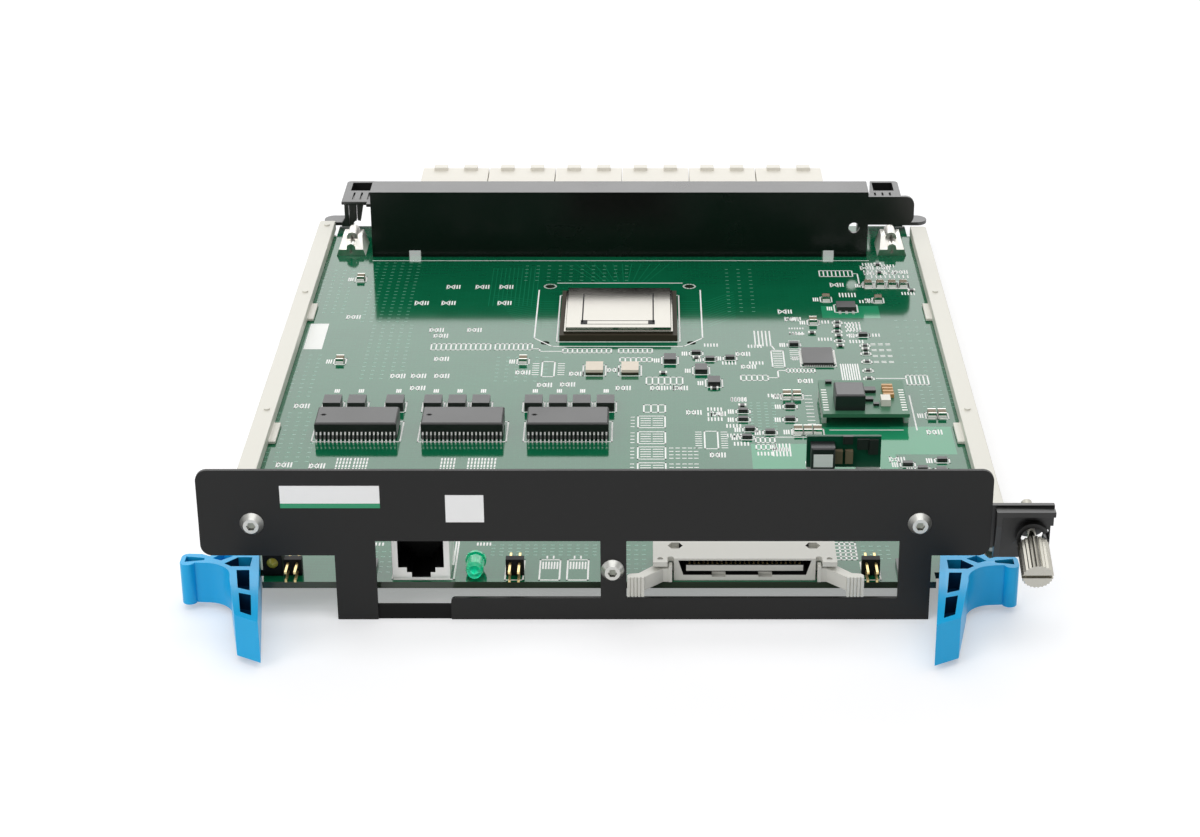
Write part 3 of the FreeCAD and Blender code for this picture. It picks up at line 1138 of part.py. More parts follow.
def build():
    main_board()
    bezel_panel()
    bezel_screws()
    panel_brackets()
    for name, side in (("left", -1), ("right", 1)):
        guide_rail(f"guide_rail_{name}", side, f"rail_rear_{name}")
        end_block(f"end_block_{name}", side, f"lug_{name}")
        guide_socket(f"guide_socket_{name}", side)
        ribbon_latch(f"ribbon_latch_{name}", side)
    rail_pins()
    rear_stiffener()
    for number in range(round(size("connector_count"))):
        backplane_connector(number)
    for name, side in (("left", 1), ("right", -1)):
        ejector_lever(f"ejector_lever_{name}", side, f"lever_{name}_x", f"lever_{name}_y")
        lever_pin(f"lever_pin_{name}", f"lever_{name}_x", f"lever_{name}_y")
    thumbscrew_bracket()
    thumbscrew()
    thumbscrew_ring()
    network_jack()
    jack_contacts()
    status_lamp()
    indicator()
    pin_headers()
    header_pins()
    ribbon_header()
    ribbon_contacts()
    latch_pins()
    switch_chip()
    for number, x in enumerate(MODULES):
        line_transformer(number, x)
    transformer_leads()
    line_suppressors()
    flat_converter()
    upright_converter()
    chip_leads()
    small_parts()


def check():
    """Stop if anything failed to build, a cut took nothing away, or a piece isn't a sound solid."""
    doc.recompute()
    for item in doc.Objects:
        if "Invalid" in item.State or "Error" in item.State:
            raise RuntimeError(f"{item.Label} failed: {item.State}")
    for before, after in cuts:
        if before.Shape.Volume - after.Shape.Volume < 1e-3:
            raise RuntimeError(f"{after.Name} cuts nothing")
    for piece in nodes:
        if piece.Shape.isNull() or not piece.Shape.isValid() or not piece.Shape.Solids:
            raise RuntimeError(f"{piece.Label} isn't a sound solid")


def write():
    os.makedirs("parts", exist_ok=True)
    for piece in nodes:
        piece.Shape.exportStep(f"parts/{piece.Label}.step")


build()
check()
write()
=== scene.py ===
"""Looks for the cache switch board: finishes for every CAD piece, softened edges on the moulded and
folded ones, and the printed marks, pads, small parts and blank labels that the board carries."""

import json
import math

import bmesh
import bpy
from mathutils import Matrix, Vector


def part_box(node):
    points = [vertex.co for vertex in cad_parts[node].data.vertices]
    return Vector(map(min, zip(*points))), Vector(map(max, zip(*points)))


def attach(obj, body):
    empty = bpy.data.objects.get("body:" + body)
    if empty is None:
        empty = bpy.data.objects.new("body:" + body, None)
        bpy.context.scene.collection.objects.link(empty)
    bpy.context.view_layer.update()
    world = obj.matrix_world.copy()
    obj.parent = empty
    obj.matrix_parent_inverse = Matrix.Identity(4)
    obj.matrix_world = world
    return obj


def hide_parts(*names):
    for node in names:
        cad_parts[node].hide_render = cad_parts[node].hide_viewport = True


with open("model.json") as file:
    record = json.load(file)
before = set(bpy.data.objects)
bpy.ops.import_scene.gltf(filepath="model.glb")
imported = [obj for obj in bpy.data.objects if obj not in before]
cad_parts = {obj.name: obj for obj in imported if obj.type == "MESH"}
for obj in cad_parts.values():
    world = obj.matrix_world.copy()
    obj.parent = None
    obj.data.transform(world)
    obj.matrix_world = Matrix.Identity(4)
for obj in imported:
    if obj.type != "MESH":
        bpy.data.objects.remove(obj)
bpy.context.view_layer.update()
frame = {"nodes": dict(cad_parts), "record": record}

bl_info = {
    "name": "Cache switch board",
    "version": (1, 0, 0),
    "blender": (4, 5, 0),
    "location": "View3D > Sidebar > Switch board",
    "description": "Dresses the packed switch board with its finishes, print and small parts",
    "category": "Object",
}

MM = 0.001
BOARD_LOW, BOARD_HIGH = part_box("main_board")
ZERO = Vector(((BOARD_LOW.x + BOARD_HIGH.x) / 2, BOARD_LOW.y, BOARD_HIGH.z))
BODY_OF = {node: body for body, nodes in frame["record"]["behaviour"]["bodies"].items() for node in nodes}
MAIN_BODY = BODY_OF["main_board"]
SIDES = ("left", "right")
MODULES = ("line_transformer_1", "line_transformer_2", "line_transformer_3")

# Sizes in millimetres
PRINT_WIDTH = 0.48
TRACK_WIDTH = 0.3
MASK_EDGE_WIDTH = 0.45
VIA_LENGTH = 1.15
VIA_WIDTH = 0.42
CAP_OVERLAP = 0.06
MERGE_GAP = 0.002

# Faces that meet at less than the flat angle are joined, and edges past the sharp angle are rounded
FLAT_ANGLE = math.radians(1.0)
SHARP_ANGLE = math.radians(32.0)
EDGE_SEGMENTS = 2


def on_board(x, y, z):
    """A place in the frame, from millimetres right of the board's middle, behind its front and above it."""
    return ZERO + Vector((x, y, z)) * MM


def board_box(node):
    """The low and high corners of a CAD node, in millimetres on the board."""
    return [(corner - ZERO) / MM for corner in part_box(node)]


class SwitchBoardColours(bpy.types.PropertyGroup):
    """Colours of the main finishes."""
    mask: bpy.props.FloatVectorProperty(
        name="Solder mask", description="Green of the printed board", subtype="COLOR",
        size=3, min=0, max=1, default=(0.003, 0.124, 0.053))
    lever: bpy.props.FloatVectorProperty(
        name="Levers", description="Blue of the two ejector levers", subtype="COLOR",
        size=3, min=0, max=1, default=(0.008, 0.44, 0.84))
    rail: bpy.props.FloatVectorProperty(
        name="Rails", description="Cream of the two guide rails", subtype="COLOR",
        size=3, min=0, max=1, default=(0.72, 0.705, 0.63))
    connector: bpy.props.FloatVectorProperty(
        name="Connectors", description="Warm grey of the ribbon header and its latches", subtype="COLOR",
        size=3, min=0, max=1, default=(0.65, 0.645, 0.59))
    sheet: bpy.props.FloatVectorProperty(
        name="Black sheet", description="Paint of the bezel", subtype="COLOR",
        size=3, min=0, max=1, default=(0.011, 0.011, 0.0105))


class SwitchBoardSizes(bpy.types.PropertyGroup):
    """Sizes of the dressing."""
    mould_edge: bpy.props.FloatProperty(
        name="Moulded edge", description="Width of the softened edge on the levers and rails",
        unit="LENGTH", default=0.35 * MM, min=0)
    sheet_edge: bpy.props.FloatProperty(
        name="Sheet edge", description="Width of the softened edge on folded sheet and small mouldings",
        unit="LENGTH", default=0.14 * MM, min=0)
    print_height: bpy.props.FloatProperty(
        name="Print height", description="Thickness of the white print on the board",
        unit="LENGTH", default=0.03 * MM, min=0)
    label_height: bpy.props.FloatProperty(
        name="Label height", description="Thickness of the blank labels",
        unit="LENGTH", default=0.12 * MM, min=0)


def colours():
    return bpy.context.scene.switch_board_colours


def sizes():
    return bpy.context.scene.switch_board_sizes


# Shader nodes

def feed(tree, value, socket):
    """Link a socket to an input, or set the input where the value is a plain number or colour."""
    if isinstance(value, bpy.types.NodeSocket):
        tree.links.new(value, socket)
    else:
        socket.default_value = value


def set_inputs(node, values):
    for label, value in values.items():
        node.inputs[label].default_value = value


def arithmetic(tree, operation, first, second=0.0):
    """A Math node on two values, each a socket or a number; returns its result socket."""
    node = tree.nodes.new("ShaderNodeMath")
    node.operation = operation
    feed(tree, first, node.inputs[0])
    feed(tree, second, node.inputs[1])
    return node.outputs[0]


def mix(tree, factor, first, second, blend="MIX"):
    """A Mix node on two colours, each a socket or four numbers; returns its result socket."""
    node = tree.nodes.new("ShaderNodeMix")
    node.data_type = "RGBA"
    node.blend_type = blend
    for label, value in (("Factor", factor), ("A", first), ("B", second)):
        feed(tree, value, node.inputs[label])
    return node.outputs["Result"]


def noise(tree, coordinates, scale, detail):
    node = tree.nodes.new("ShaderNodeTexNoise")
    node.inputs["Detail"].default_value = detail
    tree.links.new(coordinates, node.inputs["Vector"])
    feed(tree, scale, node.inputs["Scale"])
    return node.outputs["Fac"]


def object_place(tree):
    return tree.nodes.new("ShaderNodeTexCoord").outputs["Object"]


def height_of(tree, vector):
    """The Z value of a vector socket."""
    split = tree.nodes.new("ShaderNodeSeparateXYZ")
    tree.links.new(vector, split.inputs["Vector"])
    return split.outputs["Z"]


def seen_directly(tree):
    """One where the camera, a glossy part or a clear part shows the surface, and zero for other light."""
    path = tree.nodes.new("ShaderNodeLightPath")
    shown = arithmetic(tree, "MAXIMUM", path.outputs["Is Camera Ray"], path.outputs["Is Glossy Ray"])
    return arithmetic(tree, "MAXIMUM", shown, path.outputs["Is Transmission Ray"])


def shader_group(name, inputs, outputs):
    """An empty shader node group with named sockets, and its input and output nodes."""
    group = bpy.data.node_groups.new(name, "ShaderNodeTree")
    for label, kind, value in inputs:
        socket = group.interface.new_socket(name=label, in_out="INPUT", socket_type=kind)
        socket.default_value = value
    for label, kind in outputs:
        group.interface.new_socket(name=label, in_out="OUTPUT", socket_type=kind)
    return group, group.nodes.new("NodeGroupInput"), group.nodes.new("NodeGroupOutput")


def surface_variation():
    """Fine grain, slow changes of tone and uneven gloss, shared by every finish of the part."""
    name = "surface_variation"
    if name in bpy.data.node_groups:
        return bpy.data.node_groups[name]
    group, given, result = shader_group(
        name,
        [("Color", "NodeSocketColor", (0.5, 0.5, 0.5, 1)), ("Tone Spread", "NodeSocketFloat", 0.1),
         ("Grain Scale", "NodeSocketFloat", 2000.0), ("Roughness", "NodeSocketFloat", 0.4),
         ("Gloss Spread", "NodeSocketFloat", 0.1)],
        [("Color", "NodeSocketColor"), ("Roughness", "NodeSocketFloat"), ("Height", "NodeSocketFloat")])
    grain_detail, patch_scale, patch_detail = 4.0, 55.0, 5.0
    place = object_place(group)
    grain = noise(group, place, given.outputs["Grain Scale"], grain_detail)
    patches = noise(group, place, patch_scale, patch_detail)
    swing = arithmetic(group, "SUBTRACT", patches, 0.5)
    tone = group.nodes.new("ShaderNodeHueSaturation")
    group.links.new(given.outputs["Color"], tone.inputs["Color"])
    lift = arithmetic(group, "MULTIPLY", swing, given.outputs["Tone Spread"])
    group.links.new(arithmetic(group, "ADD", lift, 1.0), tone.inputs["Value"])
    gloss = arithmetic(group, "MULTIPLY", swing, given.outputs["Gloss Spread"])
    group.links.new(tone.outputs["Color"], result.inputs["Color"])
    group.links.new(arithmetic(group, "ADD", gloss, given.outputs["Roughness"]), result.inputs["Roughness"])
    group.links.new(grain, result.inputs["Height"])
    return group


# Finishes

def finish(name, colour, roughness, metallic=0.0, specular=0.5, ior=1.5, transmission=0.0,
           grain=2600.0, bump=0.1, depth=0.02, tone=0.12, gloss=0.1):
    """A finish on the shared variation group. Depth is the grain's height in millimetres."""
    if name in bpy.data.materials:
        return bpy.data.materials[name]
    material = bpy.data.materials.new(name)
    material.use_nodes = True
    tree = material.node_tree
    shader = tree.nodes["Principled BSDF"]
    set_inputs(shader, {"Metallic": metallic, "IOR": ior, "Specular IOR Level": specular,
                        "Transmission Weight": transmission})
    group = tree.nodes.new("ShaderNodeGroup")
    group.name = "variation"
    group.node_tree = surface_variation()
    set_inputs(group, {"Color": (*colour, 1), "Tone Spread": tone, "Grain Scale": grain,
                       "Roughness": roughness, "Gloss Spread": gloss})
    relief = tree.nodes.new("ShaderNodeBump")
    set_inputs(relief, {"Strength": bump, "Distance": depth * MM})
    tree.links.new(group.outputs["Color"], shader.inputs["Base Color"])
    tree.links.new(group.outputs["Roughness"], shader.inputs["Roughness"])
    tree.links.new(group.outputs["Height"], relief.inputs["Height"])
    tree.links.new(relief.outputs["Normal"], shader.inputs["Normal"])
    return material


def mask_coat(name, colour, roughness, specular=0.5, tone=0.2, gloss=0.04):
    """A finish with the smooth skin of solder mask."""
    return finish(name, colour, roughness, specular=specular, grain=900.0, bump=0.05, tone=tone,
                  gloss=gloss)


def solder_mask():
    """Glossy green mask: copper shows through as paler streaks, and bare laminate at the cut edges."""
    material = mask_coat("solder_mask", colours().mask, 0.09, specular=0.46, tone=0.35)
    bare_laminate, copper_share, flat_limit = (0.04, 0.058, 0.038, 1), 0.6, 0.5
    tree = material.node_tree
    tracks = tree.nodes.new("ShaderNodeTexBrick")
    set_inputs(tracks, {"Scale": 160.0, "Color1": (1.0, 1.0, 1.0, 1), "Color2": (0.82, 0.9, 0.86, 1),
                        "Mortar": (1.25, 1.3, 1.25, 1), "Mortar Size": 0.012, "Bias": -0.2})
    tree.links.new(object_place(tree), tracks.inputs["Vector"])
    masked = tree.nodes["variation"].outputs["Color"]
    copper = mix(tree, copper_share, masked, tracks.outputs["Color"], "MULTIPLY")
    facing = height_of(tree, tree.nodes.new("ShaderNodeNewGeometry").outputs["Normal"])
    flat = arithmetic(tree, "GREATER_THAN", arithmetic(tree, "ABSOLUTE", facing), flat_limit)
    colour = mix(tree, flat, bare_laminate, copper)
    tree.links.new(colour, tree.nodes["Principled BSDF"].inputs["Base Color"])
    return material


def converter_mask():
    return mask_coat("converter_mask", (0.045, 0.165, 0.09), 0.34, specular=0.3, tone=0.3, gloss=0.05)


def upright_mask():
    return mask_coat("upright_mask", (0.004, 0.07, 0.035), 0.34, specular=0.3, tone=0.3, gloss=0.05)


def copper_pour():
    return mask_coat("copper_pour", (0.02, 0.28, 0.13), 0.07, specular=0.46)


def copper_track():
    return mask_coat("copper_track", (0.008, 0.2, 0.09), 0.07)


def masked_via():
    return mask_coat("masked_via", (0.13, 0.36, 0.25), 0.1)


def white_print():
    return finish("white_print", (0.92, 0.93, 0.9), 0.6, grain=3000.0, bump=0.2, tone=0.15)


def black_sheet():
    return finish("black_sheet", colours().sheet, 0.42, specular=0.3, grain=1500.0, bump=0.35, depth=0.03,
                  tone=0.3, gloss=0.16)


def stiffener_black():
    return finish("stiffener_black", (0.004, 0.004, 0.0036), 0.26, ior=1.6, grain=1400.0, bump=0.12,
                  tone=0.25)


def hood_black():
    return finish("hood_black", (0.008, 0.008, 0.0075), 0.36, ior=1.58, grain=1500.0, bump=0.12, tone=0.25)


def end_block_black():
    return finish("end_block_black", (0.012, 0.012, 0.012), 0.34, ior=1.75, grain=2200.0, bump=0.25,
                  tone=0.3, gloss=0.12)


# Black moulded plastic of the lamp housing and pin headers; on the bezel's set-back bar it is painted
# shade.
def black_moulding_and_shade():
    return finish("black_moulding_and_shade", (0.007, 0.007, 0.007), 0.5, specular=0.14, grain=2200.0, bump=0.3,
                  tone=0.3, gloss=0.14)


# Near-black finish: painted shade in the socket mouths and in the chip lid's groove and notches; also the
# dark dimples on the line modules.
def socket_dark():
    return finish("socket_dark", (0.006, 0.006, 0.006), 0.5, specular=0.2, grain=2000.0, bump=0.2, tone=0.2)


def package_epoxy():
    return finish("package_epoxy", (0.016, 0.016, 0.0155), 0.36, ior=1.57, grain=4000.0, bump=0.4,
                  depth=0.015, tone=0.25, gloss=0.12)


def ferrite():
    return finish("ferrite", (0.014, 0.014, 0.015), 0.34, ior=1.6, grain=3000.0, bump=0.3, tone=0.3,
                  gloss=0.12)


def chip_laminate():
    return finish("chip_laminate", (0.045, 0.038, 0.025), 0.5, specular=0.12, grain=1500.0, tone=0.2)


def lever_blue():
    return finish("lever_blue", colours().lever, 0.34, specular=0.35, grain=1800.0, gloss=0.12)


def lever_shade():
    return finish("lever_shade", (0.002, 0.035, 0.1), 0.4, specular=0.2, grain=1800.0)


def rail_cream():
    return finish("rail_cream", colours().rail, 0.42, grain=1600.0, bump=0.12, tone=0.06)


def connector_grey():
    return finish("connector_grey", colours().connector, 0.45, grain=1700.0, bump=0.12, tone=0.07)


def backplane_white():
    return finish("backplane_white", (0.8, 0.77, 0.69), 0.5, grain=1700.0, tone=0.06)


def jack_white():
    return finish("jack_white", (0.92, 0.915, 0.88), 0.4, metallic=0.35, grain=1700.0, tone=0.05,
                  gloss=0.08)


def nickel_plate():
    return finish("nickel_plate", (0.8, 0.78, 0.73), 0.3, metallic=1.0, grain=1200.0, bump=0.06, tone=0.08,
                  gloss=0.12)


def knob_nickel():
    return finish("knob_nickel", (0.5, 0.485, 0.43), 0.28, metallic=1.0, grain=1200.0, bump=0.06, tone=0.08,
                  gloss=0.12)


def zinc_plate():
    return finish("zinc_plate", (0.6, 0.6, 0.57), 0.32, metallic=1.0, grain=1800.0, bump=0.08, tone=0.08,
                  gloss=0.14)


def gold_plate():
    return finish("gold_plate", (0.83, 0.62, 0.25), 0.25, metallic=1.0, bump=0.08, tone=0.1, gloss=0.12)


def lid_metal():
    return finish("lid_metal", (0.33, 0.317, 0.285), 0.13, metallic=1.0, grain=2200.0, bump=0.07, tone=0.06)


def tin_plate():
    return finish("tin_plate", (0.86, 0.86, 0.83), 0.42, metallic=0.6, tone=0.1, gloss=0.14)


def module_lead():
    """Tinned lead, brighter at its shoulder and foot than on the slope between them, where a dark grey is
    painted shade.
    """
    material = finish("module_lead", (0.9, 0.9, 0.87), 0.4, metallic=0.6, tone=0.1, gloss=0.14)
    shaded, slope_share = (0.14, 0.145, 0.14, 1), 0.2
    tree = material.node_tree
    low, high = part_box("transformer_leads")
    limit = slope_share * (high.z - low.z)
    rise = arithmetic(tree, "SUBTRACT", height_of(tree, object_place(tree)), (low.z + high.z) / 2)
    slope = arithmetic(tree, "LESS_THAN", arithmetic(tree, "ABSOLUTE", rise), limit)
    # Painted shade: the slope takes a dark grey in place of the tin's own colour.
    colour = mix(tree, slope, tree.nodes["variation"].outputs["Color"], shaded)
    tree.links.new(colour, tree.nodes["Principled BSDF"].inputs["Base Color"])
    return material


def cap_tin():
    return finish("cap_tin", (0.74, 0.74, 0.7), 0.16, metallic=1.0, bump=0.06, tone=0.1)


def solder_bright():
    return finish("solder_bright", (0.82, 0.83, 0.79), 0.5, metallic=0.15, tone=0.1)


def dull_tin():
    return finish("dull_tin", (0.42, 0.44, 0.38), 0.6, metallic=0.2, tone=0.2)


def crystal_cream():
    return finish("crystal_cream", (0.74, 0.66, 0.55), 0.5, specular=0.3, tone=0.1)


def ceramic_tan():
    return finish("ceramic_tan", (0.2, 0.16, 0.1), 0.5, specular=0.25, grain=3000.0, bump=0.2, tone=0.25)


def ceramic_orange():
    return finish("ceramic_orange", (0.55, 0.3, 0.1), 0.4, grain=3000.0, bump=0.15, tone=0.2)


def label_white():
    return finish("label_white", (0.97, 0.97, 0.96), 0.5, grain=1500.0, tone=0.05, gloss=0.08)


def label_green():
    return finish("label_green", (0.03, 0.33, 0.16), 0.5, grain=1500.0, tone=0.05, gloss=0.08)


def lamp_lens(name, colour, roughness, transmission):
    """Tinted clear plastic, with a very smooth skin."""
    return finish(name, colour, roughness, transmission=transmission, grain=600.0, bump=0.02, tone=0.05,
                  gloss=0.04)


def lamp_green():
    return lamp_lens("lamp_green", (0.008, 0.85, 0.46), 0.12, 0.55)


def lamp_yellow():
    return lamp_lens("lamp_yellow", (0.62, 0.55, 0.08), 0.14, 0.35)


# Pieces

def link(name, data):
    """A new object in the scene."""
    item = bpy.data.objects.new(name, data)
    bpy.context.scene.collection.objects.link(item)
    return item


def add_piece(name, mesh, body=MAIN_BODY):
    """Put a finished mesh in the scene as a piece that rides on a body."""
    piece = link(name, mesh)
    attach(piece, body)
    return piece


def paint(material, *nodes):
    """Give CAD nodes their finish, as they are."""
    for node in nodes:
        mesh = frame["nodes"][node].data
        mesh.materials.clear()
        mesh.materials.append(material)


def merged(node):
    """A working copy of a CAD node's mesh, with its loose triangles joined."""
    working = bmesh.new()
    working.from_mesh(frame["nodes"][node].data)
    bmesh.ops.remove_doubles(working, verts=working.verts, dist=MERGE_GAP * MM)
    return working


def softened(node, material, width=None, shade_box=None, shade_finish=None):
    """A copy of a CAD node with its edges rounded over, which stands in for it. The edges are as wide as
    on sheet unless a width is given. Faces whose middle is in the shade box, a box in millimetres on the
    board, take the shade finish, a darker finish that paints the shade which falls in a recess."""
    working = merged(node)
    bmesh.ops.dissolve_limit(working, angle_limit=FLAT_ANGLE, verts=working.verts, edges=working.edges)
    mesh = bpy.data.meshes.new("dressed_" + node)
    working.to_mesh(mesh)
    working.free()
    mesh.polygons.foreach_set("use_smooth", [True] * len(mesh.polygons))
    mesh.materials.append(material)
    # Painted shade: faces inside the box take a darker finish for the shade in the recess.
    if shade_box:
        mesh.materials.append(shade_finish)
        low, high = (on_board(*corner) for corner in shade_box)
        for face in mesh.polygons:
            inside = all(low[axis] < face.center[axis] < high[axis] for axis in range(3))
            face.material_index = int(inside)
    piece = add_piece("dressed_" + node, mesh, BODY_OF[node])
    rounding = piece.modifiers.new("rounded_edges", "BEVEL")
    rounding.width = sizes().sheet_edge if width is None else width
    rounding.segments = EDGE_SEGMENTS
    rounding.limit_method = "ANGLE"
    rounding.angle_limit = SHARP_ANGLE
    rounding.use_clamp_overlap = True
    rounding.harden_normals = True
    mesh.set_sharp_from_angle(angle=SHARP_ANGLE)
    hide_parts(node)


def islands(node):
    """The low and high corners, in millimetres on the board, of each separate shape in a CAD node."""
    working = merged(node)
    seen = set()
    found = []
    for start in working.verts:
        if start in seen:
            continue
        seen.add(start)
        group = [start]
        for vertex in group:
            for edge in vertex.link_edges:
                other = edge.other_vert(vertex)
                if other not in seen:
                    seen.add(other)
                    group.append(other)
        places = [(vertex.co - ZERO) / MM for vertex in group]
        low = Vector([min(place[axis] for place in places) for axis in range(3)])
        high = Vector([max(place[axis] for place in places) for axis in range(3)])
        found.append((low, high))
    working.free()
    return found


# Blocks on points

def unit_block(tree):
    """A block one unit each way, that stands on its point."""
    cube = tree.nodes.new("GeometryNodeMeshCube")
    lift = tree.nodes.new("GeometryNodeTransform")
    lift.inputs["Translation"].default_value = (0, 0, 0.5)
    tree.links.new(cube.outputs["Mesh"], lift.inputs["Geometry"])
    return lift.outputs["Geometry"]


def point_value(tree, name, kind):
    """The socket of a named attribute that each point carries."""
    node = tree.nodes.new("GeometryNodeInputNamedAttribute")
    node.data_type = kind
    node.inputs["Name"].default_value = name
    return node.outputs["Attribute"]


def block_tree():
    """A Geometry Nodes tree that puts a block on every point, scaled and turned by its attributes."""
    name = "blocks_on_points"
    if name in bpy.data.node_groups:
        return bpy.data.node_groups[name]
    tree = bpy.data.node_groups.new(name, "GeometryNodeTree")
    tree.interface.new_socket(name="Geometry", in_out="INPUT", socket_type="NodeSocketGeometry")
    tree.interface.new_socket(name="Material", in_out="INPUT", socket_type="NodeSocketMaterial")
    tree.interface.new_socket(name="Geometry", in_out="OUTPUT", socket_type="NodeSocketGeometry")
    given = tree.nodes.new("NodeGroupInput")
    result = tree.nodes.new("NodeGroupOutput")
    spread = tree.nodes.new("GeometryNodeInstanceOnPoints")
    tree.links.new(given.outputs["Geometry"], spread.inputs["Points"])
    tree.links.new(unit_block(tree), spread.inputs["Instance"])
    tree.links.new(point_value(tree, "size", "FLOAT_VECTOR"), spread.inputs["Scale"])
    upright = tree.nodes.new("ShaderNodeCombineXYZ")
    tree.links.new(point_value(tree, "turn", "FLOAT"), upright.inputs["Z"])
    angles = tree.nodes.new("FunctionNodeEulerToRotation")
    tree.links.new(upright.outputs["Vector"], angles.inputs["Euler"])
    tree.links.new(angles.outputs["Rotation"], spread.inputs["Rotation"])
    real = tree.nodes.new("GeometryNodeRealizeInstances")
    tree.links.new(spread.outputs["Instances"], real.inputs["Geometry"])
    coat = tree.nodes.new("GeometryNodeSetMaterial")
    tree.links.new(real.outputs["Geometry"], coat.inputs["Geometry"])
    tree.links.new(given.outputs["Material"], coat.inputs["Material"])
    tree.links.new(coat.outputs["Geometry"], result.inputs["Geometry"])
    return tree


def blocks(name, items, material):
    """Bake one block for each (place, size, turn) item to one plain mesh, and add it as a piece."""
    places, shapes, turns = zip(*items)
    seeds = bpy.data.meshes.new(name + "_points")
    seeds.from_pydata(places, [], [])
    size = seeds.attributes.new("size", "FLOAT_VECTOR", "POINT")
    size.data.foreach_set("vector", [value for shape in shapes for value in shape])
    turn = seeds.attributes.new("turn", "FLOAT", "POINT")
    turn.data.foreach_set("value", turns)
    source = link(name + "_points", seeds)
    maker = source.modifiers.new(name, "NODES")
    maker.node_group = block_tree()
    for socket in maker.node_group.interface.items_tree:
        if socket.name == "Material":
            maker[socket.identifier] = material
    depsgraph = bpy.context.evaluated_depsgraph_get()
    mesh = bpy.data.meshes.new_from_object(source.evaluated_get(depsgraph), depsgraph=depsgraph)
    bpy.data.objects.remove(source)
    add_piece(name, mesh)


def slab(x, y, z, width, depth, height, turn=0.0):
    """One block item: the middle of its foot on the board and its size, in millimetres."""
    return on_board(x, y, z), (width * MM, depth * MM, height * MM), turn


def line(start, end, width, height, z=0.0):
    """A straight line on the board, or on a face at height z, as one block item."""
    middle = [(first + last) / 2 for first, last in zip(start, end)]
    run = [last - first for first, last in zip(start, end)]
    length, turn = math.hypot(*run) + width, math.atan2(run[1], run[0])
    return slab(*middle, z, length, width, height, turn)


# Print and vias, as lists of block items

def print_line(start, end):
    return line(start, end, PRINT_WIDTH, sizes().print_height / MM)


def print_run(points):
    """Printed lines from each point to the next."""
    return [print_line(start, end) for start, end in zip(points, points[1:])]


def print_outline(corners):
    return print_run(corners + corners[:1])


def print_frame(left, front, right, back):
    return print_outline([(left, front), (right, front), (right, back), (left, back)])


def print_around(low, high, gap):
    """A frame round a part, given by its low and high corners."""
    return print_frame(low.x - gap, low.y - gap, high.x + gap, high.y + gap)


def bow_tie(x, y):
    """The crossed mark printed where a two-ended part may be fitted."""
    half, reach = 1.3, 1.9
    left, front, right, back = x - half, y - reach, x + half, y + reach
    return print_outline([(left, front), (right, back), (right, front), (left, back)])


def ticks(left, front, right, back, count):
    """A row of short upright printed bars between two corners."""
    step = (right - left) / max(count - 1, 1)
    return [print_line((left + n * step, front), (left + n * step, back)) for n in range(count)]


def bars(left, front, right, back, count):
    """Printed bars across, one behind the other, between two corners."""
    step = (back - front) / (count - 1)
    return [print_line((left, front + n * step), (right, front + n * step)) for n in range(count)]


def cell_row(left, front, right, back, count):
    """A printed row of open cells: an outline with upright bars in it, count of them with its two ends."""
    step = (right - left) / (count - 1)
    return print_frame(left, front, right, back) + ticks(left + step, front, right - step, back, count - 2)


def dashes(left, front, right, back, across, along, lean=0.0):
    """Rows of short dashes between two corners, for the masked vias. Lean moves each row to the right."""
    columns = int((right - left) / across) + 1
    rows = int((back - front) / along) + 1
    height = sizes().print_height / MM / 2
    return [slab(left + column * across + lean * row, front + row * along, 0, VIA_LENGTH, VIA_WIDTH, height)
            for row in range(rows) for column in range(columns)]


def gather(mark, rows):
    """The items of every mark that a function makes, one for each row of its values."""
    return [item for row in rows for item in mark(*row)]


# Operators

class SWITCHBOARD_OT_circuit_board(bpy.types.Operator):
    """Green mask on the board and on the converters' small boards"""
    bl_idname = "switchboard.circuit_board"
    bl_label = "Circuit board"

    def execute(self, context):
        paint(solder_mask(), "main_board")
        paint(converter_mask(), "converter_plate")
        paint(upright_mask(), "upright_board")
        return {"FINISHED"}


